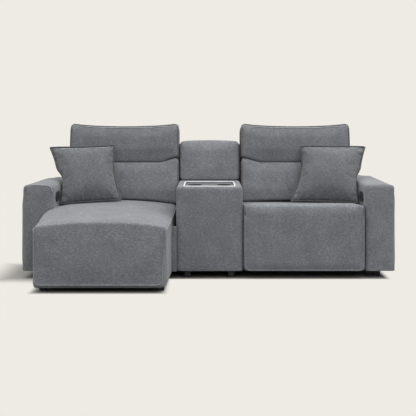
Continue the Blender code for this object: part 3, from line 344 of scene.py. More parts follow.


# pale floor: under the sofa and a little to its left a darker diffuse floor takes the real shadows and adds a
# painted shadow, each box melting into the backdrop's colour
def layFloor():
    size, low = floorSet["reach"], floorSet["drop"]
    corners = [(-size, -size, low), (size, -size, low), (size, size, low), (-size, size, low)]
    floor = meshPiece("floor", corners, [(0, 1, 2, 3)], outward=False)
    made = bpy.data.materials.new("pale floor")
    made.use_nodes = True
    tree = made.node_tree
    tree.nodes.clear()
    coords = tree.nodes.new("ShaderNodeTexCoord")
    path = tree.nodes.new("ShaderNodeLightPath")
    place = Val(tree, coords.outputs["Object"])
    x, y = (place.add("ShaderNodeSeparateXYZ", {}, {0: place}, out=axis) for axis in (0, 1))
    outside = []
    for x0, y0, x1, y1, melt in floorSet["shadowBoxes"]:
        beyondX = (x - (x0 + x1) / 2).maths("ABSOLUTE", x - (x0 + x1) / 2, 0.0) - (x1 - x0) / 2
        beyondY = (y - (y0 + y1) / 2).maths("ABSOLUTE", y - (y0 + y1) / 2, 0.0) - (y1 - y0) / 2
        outside.append(x.maths("MAXIMUM", beyondX, beyondY) / melt)
    nearest = x.maths("MINIMUM", x.maths("MINIMUM", outside[0], outside[1]), outside[2])
    far = x.add("ShaderNodeMapRange", {"interpolation_type": "SMOOTHSTEP"},
                {"Value": nearest, "From Min": 0.0, "From Max": 1.0})
    camera = Val(tree, path.outputs["Is Camera Ray"])
    bounce = [floorSet["bounce"] * c for c in floorSet["shadowAlbedo"]]
    # camera rays see the darker floor colour, the painted shadow; other rays see a dimmer bounce colour
    tone = camera.add("ShaderNodeMix", {"data_type": "RGBA"},
                      {0: camera, 6: (*bounce, 1), 7: (*floorSet["shadowAlbedo"], 1)}, out=2)
    paint = far.add("ShaderNodeBsdfDiffuse", {}, {"Color": tone})
    glow = far.add("ShaderNodeEmission", {}, {"Color": (*studio["cream"], 1), "Strength": 1.0})
    mixed = far.add("ShaderNodeMixShader", {}, {0: far * camera, 1: paint, 2: glow})
    end = tree.nodes.new("ShaderNodeOutputMaterial")
    tree.links.new(mixed.socket, end.inputs["Surface"])
    floor.data.materials.append(made)


layFloor()
print("stage ready")


# corners of a rounded rectangle's outline, each with its own radius, anticlockwise from the low corner
def roundedOutline(a0, b0, a1, b1, radii, steps=5):
    turns = np.linspace(0, math.pi / 2, steps + 1)
    corners = [(a0, b0, 1, 1, math.pi), (a1, b0, -1, 1, 1.5 * math.pi),
               (a1, b1, -1, -1, 0.0), (a0, b1, 1, -1, 0.5 * math.pi)]
    parts = [np.stack([a + sa * r + r * np.cos(first + turns), b + sb * r + r * np.sin(first + turns)], 1)
             for (a, b, sa, sb, first), r in zip(corners, radii)]
    return np.concatenate(parts)


# a closed outline in depth and height carried along X; near each end it draws in by r(1 - cos) over a length
# of r(1 - sin)
def carriedBlock(name, outline, x0, x1, endRound, steps=5):
    outline = np.asarray(outline, float)
    turns = np.linspace(0, math.pi / 2, steps + 1)
    along = np.concatenate([x0 + endRound * (1 - np.sin(turns[::-1])), x1 - endRound * (1 - np.sin(turns))])
    inset = np.concatenate([endRound * (1 - np.cos(turns[::-1])), endRound * (1 - np.cos(turns))])
    centre = (outline.min(0) + outline.max(0)) / 2
    half = (outline.max(0) - outline.min(0)) / 2
    shrink = 1 - inset[:, None] / half[None, :]
    ring = centre + (outline - centre)[None, :, :] * shrink[:, None, :]
    points = np.concatenate([np.broadcast_to(along[:, None, None], ring.shape[:2] + (1,)), ring], axis=2)
    rows, cols = ring.shape[:2]
    faces = gridFaces(rows, cols, wrapCols=True).tolist()
    faces += [list(range(cols)), list(range((rows - 1) * cols, rows * cols))]
    return meshPiece(name, points, faces, fabric)


def readPoints(obj):
    points = np.empty(len(obj.data.vertices) * 3)
    obj.data.vertices.foreach_get("co", points)
    return points.reshape(-1, 3)


def writePoints(obj, points):
    obj.data.vertices.foreach_set("co", np.asarray(points, float).ravel())
    obj.data.update()


# swaps a piece's mesh for its modified one and drops the modifiers
def settle(obj):
    bpy.context.view_layer.update()
    graph = bpy.context.evaluated_depsgraph_get()
    mesh = bpy.data.meshes.new_from_object(obj.evaluated_get(graph))
    obj.modifiers.clear()
    obj.data = mesh
    mesh.shade_smooth()
    return obj


def remeshed(obj, voxel):
    step = obj.modifiers.new("remesh", "REMESH")
    step.mode = "VOXEL"
    step.voxel_size = voxel
    return settle(obj)


cover = {"holdSteps": 8, "frames": 20,
         "cloth": {"quality": 4, "mass": 0.25, "tension_stiffness": 20, "compression_stiffness": 20,
                   "shear_stiffness": 8, "bending_stiffness": 0.8, "use_pressure": True}}


# blows a cover up with cloth under pressure; held points stay, and no point goes further than the cap
def stuffed(obj, held, pressure, cap, slack=0.0):
    before = readPoints(obj)
    group = obj.vertex_groups.new(name="held")
    levels = np.round(np.clip(held, 0, 1) * cover["holdSteps"]) / cover["holdSteps"]
    for level in np.unique(levels[levels > 0]):
        group.add(np.flatnonzero(levels == level).tolist(), float(level), "REPLACE")
    cloth = obj.modifiers.new("cover", "CLOTH")
    for key, value in cover["cloth"].items():
        setattr(cloth.settings, key, value)
    cloth.settings.uniform_pressure_force = pressure
    cloth.settings.shrink_min = -slack
    cloth.settings.effector_weights.gravity = 0
    cloth.settings.vertex_group_mass = "held"
    cloth.collision_settings.use_collision = False
    cloth.point_cache.frame_start = 1
    cloth.point_cache.frame_end = cover["frames"]
    for number in range(1, cover["frames"] + 1):
        scene.frame_set(number)
    settle(obj)
    scene.frame_set(1)
    obj.vertex_groups.clear()
    shift = readPoints(obj) - before
    reach = np.linalg.norm(shift, axis=1, keepdims=True)
    writePoints(obj, before + shift * np.minimum(1, cap / np.maximum(reach, 1e-9)))
    return obj


# evens the surface: each point moves part of the way to the mean of its neighbours, held points less
def evened(obj, rounds, share=0.5, held=None):
    points = readPoints(obj)
    ends = np.empty(len(obj.data.edges) * 2, int)
    obj.data.edges.foreach_get("vertices", ends)
    first, second = ends.reshape(-1, 2).T
    count = np.bincount(np.concatenate([first, second]), minlength=len(points))[:, None]
    free = share if held is None else share * (1 - held[:, None])
    for _ in range(rounds):
        total = np.zeros_like(points)
        np.add.at(total, first, points[second])
        np.add.at(total, second, points[first])
        points = points + free * (total / np.maximum(count, 1) - points)
    writePoints(obj, points)
    return obj


# takes away the space of a closed outline: one in depth and height carried along X, or a plan carried up Z
def carved(obj, outline, a0, a1, upward=False):
    outline = np.asarray(outline, float)
    n = len(outline)
    points = np.concatenate([np.column_stack([np.full(n, a), outline]) for a in (a0, a1)])
    if upward:
        points = points[:, [1, 2, 0]]
    faces = gridFaces(2, n, wrapCols=True).tolist() + [list(range(n)), list(range(n, 2 * n))]
    cutter = meshPiece("cutter", points, faces)
    step = obj.modifiers.new("carve", "BOOLEAN")
    step.operation = "DIFFERENCE"
    step.solver = "EXACT"
    step.object = cutter
    settle(obj)
    bpy.data.objects.remove(cutter)
    return obj


# takes a box away; the values named past or cut only have to clear the piece
def carvedBox(obj, lo, hi):
    return carved(obj, [(lo[1], lo[2]), (hi[1], lo[2]), (hi[1], hi[2]), (lo[1], hi[2])], lo[0], hi[0])


def sharpened(obj, angle=50):
    obj.data.shade_smooth()
    obj.data.set_sharp_from_angle(angle=math.radians(angle))
    return obj


# places in the raked back's own frame, turned about the pivot line into the room
rake = {"v": 0.65, "z": 0.335, "angle": math.radians(14.0)}


def rakedPoints(points):
    c, s = math.cos(rake["angle"]), math.sin(rake["angle"])
    points = np.asarray(points, float)
    return np.stack([points[..., 0], lines["y0"] + rake["v"] + points[..., 1] * c + points[..., 2] * s,
                     rake["z"] - points[..., 1] * s + points[..., 2] * c], axis=-1)


def roomPoints(points):
    return np.asarray(points, float) + np.array([0.0, lines["y0"], 0.0])


# moves all of a piece's points in one of the ways above
def moved(obj, way):
    writePoints(obj, way(readPoints(obj)))


# -1 at a, 0 midway and 1 at b
def across(values, a, b):
    return (values - (a + b) / 2) / ((b - a) / 2)


# the part of the way from a to b, eased at both ends
def eased(values, a, b):
    t = np.clip((values - a) / (b - a), 0, 1)
    return t * t * (3 - 2 * t)


# how firmly a cover is held: each zone eases from nothing at its first value to its share at its second
def sewnDown(zones, **places):
    return np.maximum.reduce([share * eased(places[name], a, b) for name, (a, b, share) in zones.items()])


# a piece rides one body; given two bodies with a start and an end point between them, its transform is only
# baked into its mesh
def follow(obj, body):
    if isinstance(body, tuple):
        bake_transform(obj)
    else:
        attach(obj, body)


def finishSoft(obj, body, replaced):
    obj.data.materials.clear()
    obj.data.materials.append(fabric)
    follow(obj, body)
    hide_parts(*replaced)
    return obj


def finishPanel(panel):
    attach(sharpened(panel), "base")


# a round cord sewn along a path: a circle carried along it, its first axis the normal of the surface under
# each point
def welt(name, path, radius, body, surface=None, closed=False, sides=8, lift=0.4, finish=weltFabric):
    path = np.asarray(path, float)
    graph = bpy.context.evaluated_depsgraph_get()
    if surface is not None:
        tree = BVHTree.FromObject(surface, graph)
        hits = [tree.find_nearest(Vector(p)) for p in path]
        path = np.array([h[0] for h in hits])
        normal = np.array([h[1] for h in hits])
        for _ in range(3):
            before, after = np.roll(path, 1, axis=0), np.roll(path, -1, axis=0)
            mean = (before + after) / 2
            if not closed:
                mean[0], mean[-1] = path[0], path[-1]
            path = path * 0.5 + mean * 0.5
    else:
        normal = np.broadcast_to(np.array([0.0, -1.0, 0.0]), path.shape).copy()
    if closed:
        tangent = np.roll(path, -1, axis=0) - np.roll(path, 1, axis=0)
    else:
        tangent = np.gradient(path, axis=0)
    tangent /= np.maximum(np.linalg.norm(tangent, axis=1, keepdims=True), 1e-9)
    normal = normal - tangent * np.sum(normal * tangent, axis=1, keepdims=True)
    normal /= np.maximum(np.linalg.norm(normal, axis=1, keepdims=True), 1e-9)
    other = np.cross(tangent, normal)
    turn = np.linspace(0, 2 * math.pi, sides, endpoint=False)
    ring = np.cos(turn)[None, :, None] * normal[:, None, :] + np.sin(turn)[None, :, None] * other[:, None, :]
    points = path[:, None, :] + normal[:, None, :] * radius * lift + radius * ring
    rows = len(path)
    faces = gridFaces(rows, sides, wrapRows=closed, wrapCols=True).tolist()
    if not closed:
        faces += [list(range(sides)), list(range((rows - 1) * sides, rows * sides))]
    made = meshPiece(name, points, faces, finish)
    follow(made, body)
    return made


# points every few millimetres along straight runs between corners
def walked(corners, step=0.008, closed=False):
    corners = np.asarray(corners, float)
    ends = np.roll(corners, -1, axis=0) if closed else corners[1:]
    starts = corners if closed else corners[:-1]
    runs = []
    for a, b in zip(starts, ends):
        count = max(2, int(np.linalg.norm(b - a) / step))
        runs.append(a + (b - a) * np.linspace(0, 1, count, endpoint=False)[:, None])
    if not closed:
        runs.append(corners[-1:])
    return np.concatenate(runs)


armSet = {"depth": 0.85, "top": 0.617, "crown": 0.010, "topRound": 0.016, "footRound": 0.012, "inset": 0.003,
          "clear": 0.001, "tuck": 0.022, "shoulder": (0.5, 0.6), "wall": 0.05, "frameTop": 0.50,
          "voxel": 0.0115, "pressure": 3.0, "cap": 0.006, "fill": 0.85, "cutRear": 1.0,
          "sewn": {"foot": (0.10, 0.06, 1), "inner": (0.012, 0.004, 1), "ridge": (0.04, 0.02, 0.9)},
          "left": {"lift": -0.007, "edge": 0.034, "out": 0.007},
          "right": {"lift": 0.011, "edge": 0.014, "out": 0.011},
          "highlightCord": [(-0.15, 0.621), (-0.11, 0.622), (-0.07, 0.621), (-0.035, 0.615), (-0.014, 0.604),
                   (-0.005, 0.588), (-0.003, 0.565)], "highlightV": 0.004, "highlightRadius": 0.0042}


# padded arm: a rounded block whose top swells by crown(1 - u^2)(1 - w^6) and climbs by lift to the rear,
# hollow for its frame; its outer face stands out past the module's line
def makeArm(name, x0, x1, inner, node, lift, edge, out):
    a = armSet
    outline = roundedOutline(a["inset"], lines["floorClear"] - a["tuck"], a["depth"] - a["inset"], a["top"],
                             (a["footRound"], a["footRound"], a["topRound"], a["topRound"]))
    near, far = (x0 - out, x1 - a["clear"]) if inner == x1 else (x0 + a["clear"], x1 + out)
    arm = remeshed(carriedBlock(name, outline, near, far, edge), a["voxel"])
    points = readPoints(arm)
    x, v, z = points.T
    u = across(x, x0, x1)
    w = across(v, 0, a["depth"])
    raised = a["crown"] * (1 - u ** 2) * (1 - w ** 6) + lift * v / a["depth"]
    z += raised * eased(z, *a["shoulder"])
    writePoints(arm, points)
    ridge = np.hypot(v, z - a["top"])  # how far from the front's top edge
    held = sewnDown(a["sewn"], foot=z, inner=np.abs(x - inner), ridge=ridge)
    evened(stuffed(arm, held, a["pressure"], a["cap"]), 2)
    past = lines["past"]
    carvedBox(arm, (x0 - past, -past, -past), (x1 + past, a["cutRear"], lines["floorClear"]))
    carvedBox(arm, (x0 + a["wall"], a["wall"], 0.0), (x1 - a["wall"], a["depth"] - a["wall"], a["frameTop"]))
    moved(arm, roomPoints)
    return finishSoft(sharpened(arm), "base", [node])


leftArm = makeArm("leftArm", lines["left"], lines["chaise0"], lines["chaise0"], "left_arm_cover",
                  **armSet["left"])
makeArm("rightArm", lines["recliner1"], lines["right"], lines["recliner1"], "right_arm_cover",
        **armSet["right"])
# a thin pale cord along the left arm's front, top and inner edge: painted highlight
highlightCord = walked([(lines["chaise0"] + x, armSet["highlightV"], z) for x, z in armSet["highlightCord"]])
welt("leftArmFold", roomPoints(highlightCord), armSet["highlightRadius"], "base", leftArm, finish=highlightFabric)
print("arms done")

chaiseSet = {"x0": -1.0625, "x1": -0.237, "front": -0.495, "rear": 0.598, "bottom": 0.027, "top": 0.458,
             "nose": 0.013, "rounds": (0.014, 0.004, 0.03), "sideRound": 0.020, "clear": 0.002, "dome": 0.030,
             "domePower": 2.2, "rise": 0.006, "fall": 0.034, "tilt": (0.028, 0.015), "belly": 0.004,
             "bellyAt": (0.22, 0.2), "draw": 0.010, "drawLow": 0.018, "widen": 0.012,
             "runs": {"high": (0.24, 0.44), "right": (0.6, 1.0), "lowV": (-0.42, -0.50), "lowZ": (0.36, 0.06),
                      "widen": (-0.1, 0.4), "draw": (0.1, -0.5), "belly": (-0.40, -0.47),
                      "fall": (0.25, -0.47), "besideFrom": (-0.42, -0.05), "besideTo": (0.35, 0.05)},
             "wall": 0.0143, "pad": -0.4303, "voxel": 0.0105, "pressure": 4.0, "cap": 0.009, "fill": 0.8,
             "cutX": (-1.5, 0.0), "cutEnd": 0.9,
             "sewn": {"foot": (0.09, 0.05, 1), "rear": (0.52, 0.58, 1), "side": (0.96, 0.995, 0.9),
                      "nose": (0.035, 0.012, 0.75)},
             "hem": (0.438, 0.42, 0.075, 0.048), "hemIn": 0.008, "hemOut": 0.003, "hemTurn": (0.016, 0.004),
             "hemCorner": 0.02, "hemEnds": (-0.004, 0.55), "hemRadius": 0.0040}
sidePanelSet = {"box": (-0.0065, 0.047, -0.0006, 0.345), "rounds": (0.002, 0.001, 0.001, 0.002),
                "laps": (0.001, 0.004), "end": 0.001}


# the chaise's form: its top falls off from the middle by dome times |u| to the domePower, slopes down to the
# nose and tilts up beside the arm and down beside the console; its front swells a little, and its right side
# draws in towards the front, most at the low front corner; runs are the stretches over which each comes in
def chaiseForm(points):
    c = chaiseSet
    runs = c["runs"]
    x, v, z = points.T
    u = across(x, c["x0"], c["x1"])
    corner = c["drawLow"] * eased(v, *runs["lowV"]) * eased(z, *runs["lowZ"])
    inward = c["widen"] * eased(v, *runs["widen"]) - c["draw"] * eased(v, *runs["draw"]) - corner
    middle, half = c["bellyAt"]
    swell = np.clip(1 - ((z - middle) / half) ** 2, 0, 1)
    beside = eased(v, *runs["besideFrom"]) * eased(v, *runs["besideTo"])
    tilt = np.where(u < 0, *c["tilt"])
    lift = c["rise"] - c["dome"] * np.abs(u) ** c["domePower"] - c["fall"] * eased(v, *runs["fall"]) \
        - tilt * u * beside
    return np.stack([x + eased(u, *runs["right"]) * inward,
                     v - c["belly"] * (1 - u ** 2) * swell * eased(v, *runs["belly"]),
                     z + eased(z, *runs["high"]) * lift], axis=1)


# chaise cover: a long block with a waterfall nose, hollow over the base frame, cut back beside the arm
def makeChaise():
    c = chaiseSet
    outline = roundedOutline(c["front"], c["bottom"], c["rear"], c["top"], (*c["rounds"], c["nose"]))
    block = carriedBlock("chaiseCover", outline, c["x0"] + c["clear"], c["x1"] - c["clear"], c["sideRound"])
    chaise = remeshed(block, c["voxel"])
    points = readPoints(chaise)
    x, v, z = points.T
    u = across(x, c["x0"], c["x1"])
    ridge = np.hypot(v - c["front"], z - c["top"])
    held = sewnDown(c["sewn"], foot=z, rear=v, side=np.abs(u), nose=ridge)
    writePoints(chaise, chaiseForm(points))
    evened(stuffed(chaise, held, c["pressure"], c["cap"]), 2)
    left, right = c["cutX"]
    low, gap, end = -lines["past"], lines["gap"], c["cutEnd"]
    carvedBox(chaise, (c["x0"] + c["wall"], c["pad"], low), (c["x1"] - c["wall"], end, lines["deck"]))
    carvedBox(chaise, (left, -gap, low), (right, end, lines["deck"]))
    carvedBox(chaise, (left, -gap, low), (lines["chaise0"] + gap, end, end))
    moved(chaise, roomPoints)
    replaced = ["chaise_seat_cushion", "chaise_front_pad", "chaise_base_cover"]
    finishSoft(sharpened(chaise), "base", replaced)
    edge0, edge1 = c["x0"] + c["hemIn"], c["x1"] - c["hemIn"]
    front = c["front"] - c["hemOut"]
    high, turn, side, low = c["hem"]  # heights: its top run, where it turns down and turns in, its low run
    back, over = (front + reach for reach in c["hemTurn"])
    start, end = c["hemEnds"]
    corners = [(edge0, start, high), (edge0, back, high), (edge0, over, turn), (edge0, front, side),
               (edge0 + c["hemCorner"], front, low), (edge1 - c["hemCorner"], front, low),
               (edge1, front, side), (edge1, over, turn), (edge1, back, high), (edge1, end, high)]
    path = roomPoints(chaiseForm(walked(corners)))
    welt("chaiseWelt", path, c["hemRadius"], "base", chaise, finish=hemFabric)
    s = sidePanelSet
    edge = roundedOutline(*s["box"], s["rounds"])
    lapIn, lapOut = s["laps"]
    panel = carriedBlock("chaiseSidePanel", edge, c["x1"] - lapIn, lines["chaise1"] + lapOut, s["end"])
    moved(panel, roomPoints)
    finishPanel(panel)


makeChaise()
print("chaise done")

reclinerSet = {"front": -0.017, "rear": 0.598, "bottom": 0.047, "top": 0.452, "nose": 0.018,
               "rounds": (0.022, 0.004, 0.03), "sideRound": 0.020, "side": 0.004, "lift": 0.032,
               "liftZ": (0.40, 0.45), "liftV": (0.5, 0.0), "voxel": 0.0105, "pressure": 4.0, "cap": 0.005,
               "sewn": {"foot": (0.09, 0.06, 1), "rear": (0.50, 0.56, 1), "side": (0.965, 0.99, 1)},
               "splitRear": 0.36, "splitFront": 0.42, "splitGap": 0.0004, "splitReach": 0.2, "padRear": 0.05,
               "padThick": 0.07, "notchZ": 0.388, "notchV": 0.112, "deckFront": 0.08, "fill": 0.8,
               "cutX": (0.0, 1.3), "cutEnd": 0.9, "cutTop": 1.2,
               "hemIn": 0.006, "hemOut": 0.002, "hem": ((0, 0.414), (0, 0.09), (0.008, 0.066), (0.03, 0.054)),
               "hemRadius": 0.0038, "weltStart": (0.52, 0.446),
               "welt": ((0.03, 0.476), (0.008, 0.466), (0, 0.424)), "weltRadius": 0.0036}


# recliner seat and footrest front, blown up as one cushion and then parted along the slanted joint
def makeRecliner():
    r = reclinerSet
    x0, x1 = lines["recliner0"] + r["side"], lines["recliner1"] - r["side"]
    outline = roundedOutline(r["front"], r["bottom"], r["rear"], r["top"], (*r["rounds"], r["nose"]))
    seat = remeshed(carriedBlock("reclinerSeat", outline, x0, x1, r["sideRound"]), r["voxel"])
    points = readPoints(seat)
    x, v, z = points.T
    z += eased(z, *r["liftZ"]) * r["lift"] * eased(v, *r["liftV"])
    writePoints(seat, points)
    held = sewnDown(r["sewn"], foot=z, rear=v, side=np.abs(across(x, x0, x1)))
    evened(stuffed(seat, held, r["pressure"], r["cap"]), 2)
    pad = bpy.data.objects.new("footrestPad", seat.data.copy())
    scene.collection.objects.link(pad)
    slope = (r["splitFront"] - r["splitRear"]) / r["padThick"]
    ahead, behind = -r["splitReach"], r["splitReach"]
    splitAhead, splitBehind = (r["splitRear"] + (r["padRear"] - v) * slope for v in (ahead, behind))
    notchFront = r["padRear"] - (r["notchZ"] - r["splitRear"]) / slope
    left, right = r["cutX"]
    low, end, high = -lines["past"], r["cutEnd"], r["cutTop"]
    carved(seat, [(ahead, low), (r["notchV"], low), (r["notchV"], r["notchZ"]), (notchFront, r["notchZ"]),
                  (ahead, splitAhead)], left, right)
    carvedBox(seat, (left, r["deckFront"], low), (right, end, lines["deck"]))
    carved(pad, [(behind, splitBehind - r["splitGap"]), (behind, high), (ahead, high),
                 (ahead, splitAhead - r["splitGap"])], left, right)
    carvedBox(pad, (left, r["padRear"], low), (right, end, end))
    for piece in (seat, pad):
        moved(piece, roomPoints)
        sharpened(piece, 44)
    finishSoft(seat, "recliner_seat", ["recliner_seat_cushion"])
    finishSoft(pad, "footrest", ["footrest_pad"])
    edge0, edge1, front = x0 + r["hemIn"], x1 - r["hemIn"], r["front"] - r["hemOut"]
    corners = [(edge0 + inward, front, z) for inward, z in r["hem"]]
    corners += [(edge1 - inward, front, z) for inward, z in reversed(r["hem"])]
    welt("footrestWelt", roomPoints(walked(corners)), r["hemRadius"], "footrest", pad, finish=hemFabric)
    for side, edge in (("Left", edge0), ("Right", edge1)):
        corners = [(edge, *r["weltStart"])] + [(edge, front + back, z) for back, z in r["welt"]]
        welt("seatWelt" + side, roomPoints(walked(corners)), r["weltRadius"], "recliner_seat", seat)


makeRecliner()
print("recliner seat done")

backSet = {"face": -0.140, "rear": -0.0228, "bottom": 0.106, "slant": 0.028, "hang": 0.10, "top": 0.664,
           "shift": 0.004, "crease": 0.381, "creaseGap": 0.001, "creaseBend": 0.034, "creaseNear": 0.07,
           "bendFrom": 0.62, "underRound": 0.014, "tuck": 0.010, "tuckRun": (0.055, 0.005),
           "overRound": 0.016, "sideRound": 0.016, "faceIn": 0.002, "lumbarRounds": (0.030, 0.006, 0.006),
           "headRounds": (0.006, 0.012, 0.026), "dip": 0.018, "ear": 0.006, "thin": 0.018, "fuller": 0.018,
           "neck": (0.030, 0.105), "headRear": -0.0245, "voxel": 0.0095, "pressure": 5.0, "cap": 0.012,
           "slack": 0.01, "fill": 0.7, "creaseSewn": (0.03, 0.01, 0.6),
           "lumbarSewn": {"rear": (-0.06, -0.03, 1), "side": (0.955, 0.985, 1), "foot": (0.15, 0.12, 0.5)},
           "headSewn": {"rear": (-0.06, -0.03, 1), "side": (0.955, 0.985, 1), "top": (0.93, 0.98, 1),
                        "low": (0.28, 0.10, 0.85)},
           "stripFace": -0.116, "stripBow": 0.006, "stripHalf": 0.018, "weltIn": 0.005, "weltBack": 0.008,
           "lumbarRun": (0.135, 0.012), "lumbarWelt": 0.0032, "headRun": 0.02, "headOver": (0.012, 0.012),
           "headWelt": 0.0048, "highlightDown": (0.0, 0.014, 0.014), "highlightEnds": 8, "highlightRadius": 0.0032}
shellSet = {"front": 0.03, "rear": 0.089, "bottom": 0.046, "top": 0.002, "rounds": (0.004, 0.02, 0.03, 0.008),
            "end": 0.014, "skin": 0.0016, "gap": 0.0002, "frameRear": 0.0227, "frameTop": 0.6355,
            "notch": 0.01, "notchTop": 0.25, "voxel": 0.012, "pressure": 3.0, "cap": 0.006, "fill": 0.9,
            "cutFrom": -0.3, "cutTop": 1.0,
            "sewn": {"front": (0.07, 0.04, 1), "side": (0.94, 0.98, 1)}}


# the top edge of a back: it dips by dip(1 - u squared) in the middle and lifts a little at the corners
def topDip(u, t):
    return t ** 2 * (backSet["ear"] * np.abs(u) ** 6 - backSet["dip"] * (1 - u ** 2))


# the crease turns up towards the sides by creaseBend, fading out above and below it
def bentCrease(u, z):
    near = np.clip(1 - np.abs(z - backSet["crease"]) / backSet["creaseNear"], 0, 1)
    return backSet["creaseBend"] * eased(np.abs(u), backSet["bendFrom"], 1.0) * near * near * (3 - 2 * near)


# a strip of cover joining lumbar and headrest inside the crease, bowed by stripBow times s squared
def creaseStrip(name, x0, x1, backBody):
    b = backSet
    s, x = np.meshgrid(np.linspace(-1, 1, 9), np.linspace(x0 + 0.004, x1 - 0.004, 24), indexing="ij")
    bowed = np.stack([x, b["stripFace"] + b["stripBow"] * s ** 2, b["crease"] + b["stripHalf"] * s], axis=-1)
    strip = meshPiece(name, rakedPoints(bowed), gridFaces(9, 24), fabric, outward=False)
    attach(strip, backBody)
    x1 - x0 - 0.008


# how far up from the crease a height is, 0 at the crease and 1 at the top
def aboveCrease(z):
    return np.clip((z - backSet["crease"]) / (backSet["top"] - backSet["crease"]), 0, 1)


# a back in its own raked frame: lumbar cushion, headrest pillow sewn to it along the crease, and rear shell;
# the lumbar's lower edge hangs by sink and, towards its sides, by skirt; lumbar and shell end short of the
# headrest by low
def makeBack(side, x0, x1, backBody, headBody, prefix, skirt, sink, low):
    b = backSet
    x0, x1 = x0 + lines["side"] + b["shift"], x1 - lines["side"] + b["shift"]
    mid, half = (x0 + x1) / 2, (x1 - x0) / 2
    under = roundedOutline(b["face"] + b["faceIn"], b["bottom"], b["rear"], b["crease"] - b["creaseGap"],
                           (*b["lumbarRounds"], b["overRound"]))
    lumbar = remeshed(carriedBlock(side + "Lumbar", under, x0, x1 - low, b["sideRound"]), b["voxel"])
    points = readPoints(lumbar)
    x, v, z = points.T
    u = (x - mid) / half
    rearward = (v - b["face"]) / (b["rear"] - b["face"])
    lower = eased(z, b["bottom"] + b["hang"], b["bottom"])
    z += lower * (b["slant"] * rearward - skirt * np.abs(u) ** 2.2 - sink) + bentCrease(u, z)
    writePoints(lumbar, points)
    start, end, share = b["creaseSewn"]
    held = np.maximum(sewnDown(b["lumbarSewn"], rear=v, side=np.abs(u), foot=z),
                      share * eased(z, b["crease"] - start, b["crease"] - end))
    evened(stuffed(lumbar, held, b["pressure"], b["cap"], b["slack"]), 2)
    moved(lumbar, rakedPoints)
    finishSoft(lumbar, backBody, [prefix + "_back_cushion"])
    edge0, edge1 = x0 + b["weltIn"], x1 - b["weltIn"]
    weltFace = b["face"] + b["weltBack"]
    start, short = b["lumbarRun"]
    for name, edge in (("Left", edge0), ("Right", edge1 - low)):
        path = walked([(edge, weltFace, start), (edge, weltFace, b["crease"] - short)])
        welt(side + "LumbarWelt" + name, rakedPoints(path), b["lumbarWelt"], backBody, lumbar)

    high = roundedOutline(b["face"] + b["faceIn"], b["crease"] + b["creaseGap"], b["headRear"], b["top"],
                          (b["underRound"], *b["headRounds"]))
    head = remeshed(carriedBlock(side + "Headrest", high, x0, x1, b["sideRound"]), b["voxel"])
    points = readPoints(head)
    x, v, z = points.T
    u = (x - mid) / half
    t = aboveCrease(z)
    front = np.clip((b["headRear"] - v) / (b["headRear"] - b["face"]), 0, 1)
    z += topDip(u, t) + bentCrease(u, z)
    start, end = b["tuckRun"]
    tucked = b["tuck"] * eased(z, b["crease"] + start, b["crease"] + end)
    v += (b["thin"] * t ** 14 - b["fuller"] * t + tucked) * front
    writePoints(head, points)
    held = sewnDown(b["headSewn"], rear=v, side=np.abs(u), top=t, low=t)
    evened(stuffed(head, held, b["pressure"], b["cap"], b["slack"]), 2)
    moved(head, rakedPoints)
    ends = rakedPoints([(0.0, b["face"], b["crease"] + reach) for reach in b["neck"]])
    neck = (backBody, headBody, tuple(ends[0]), tuple(ends[1]))
    finishSoft(head, neck, [prefix + "_headrest_cushion"])
    # the headrest's cover takes the darker copy of the weave: painted shade
    head.data.materials[0] = shadedHeadFabric
    climb, sweep = np.linspace(0, 1, 30), np.linspace(-1, 1, 90)
    rise = np.stack([np.full(30, edge0), weltFace - b["fuller"] * climb,
                     np.linspace(b["crease"] + b["headRun"], b["top"] - b["headRun"], 30)], axis=1)
    inward, back = b["headOver"]
    over = np.stack([mid + sweep * (half - inward), np.full(90, b["face"] + back),
                     b["top"] + topDip(sweep, 1.0)], axis=1)
    down = rise[::-1].copy()
    down[:, 0] = edge1
    welt(side + "HeadrestWelt", rakedPoints(np.concatenate([rise, over, down])), b["headWelt"], neck, head)
    # a pale cord just below the headrest's top welt: painted highlight
    ridge = over[b["highlightEnds"]:-b["highlightEnds"]] - np.array(b["highlightDown"])
    welt(side + "HeadrestFold", rakedPoints(ridge), b["highlightRadius"], neck, head, finish=highlightFabric)
    creaseStrip(side + "CreaseStrip", x0, x1, backBody)

    s = shellSet
    outer = roundedOutline(b["headRear"] - s["front"], s["bottom"], s["rear"], b["top"] - s["top"],
                           s["rounds"])
    shell0, shell1 = x0 - s["skin"] - b["shift"], x1 + s["skin"] - low
    shell = remeshed(carriedBlock(side + "BackShell", outer, shell0, shell1, s["end"]), s["voxel"])
    points = readPoints(shell)
    x, v, z = points.T
    u = (x - mid) / half
    z += topDip(u, aboveCrease(z))
    writePoints(shell, points)
    held = sewnDown(s["sewn"], front=v, side=np.abs(u))
    evened(stuffed(shell, held, s["pressure"], s["cap"]), 2)
    past, begin = lines["past"], s["cutFrom"]
    carvedBox(shell, (x0 - past, begin, begin), (x1 + past, b["rear"] + s["gap"], s["cutTop"]))
    frame0, frame1 = x0 - b["shift"], x1 - b["shift"]
    carvedBox(shell, (frame0 - s["gap"], -past, -past), (frame1 + s["gap"], s["frameRear"], s["frameTop"]))
    for edge in (frame0, frame1):
        carvedBox(shell, (edge - s["notch"], -past, -past), (edge + s["notch"], s["frameRear"], s["notchTop"]))
    moved(shell, rakedPoints)
    finishSoft(sharpened(shell), backBody, [prefix + "_back_shell"])


makeBack("chaise", lines["chaise0"], lines["chaise1"], "chaise_back", "chaise_headrest", "chaise",
         skirt=0.036, sink=0.006, low=0.0)
makeBack("recliner", lines["recliner0"], lines["recliner1"], "recliner_back", "recliner_headrest", "recliner",
         skirt=0.012, sink=0.010, low=0.004)
print("backs done")

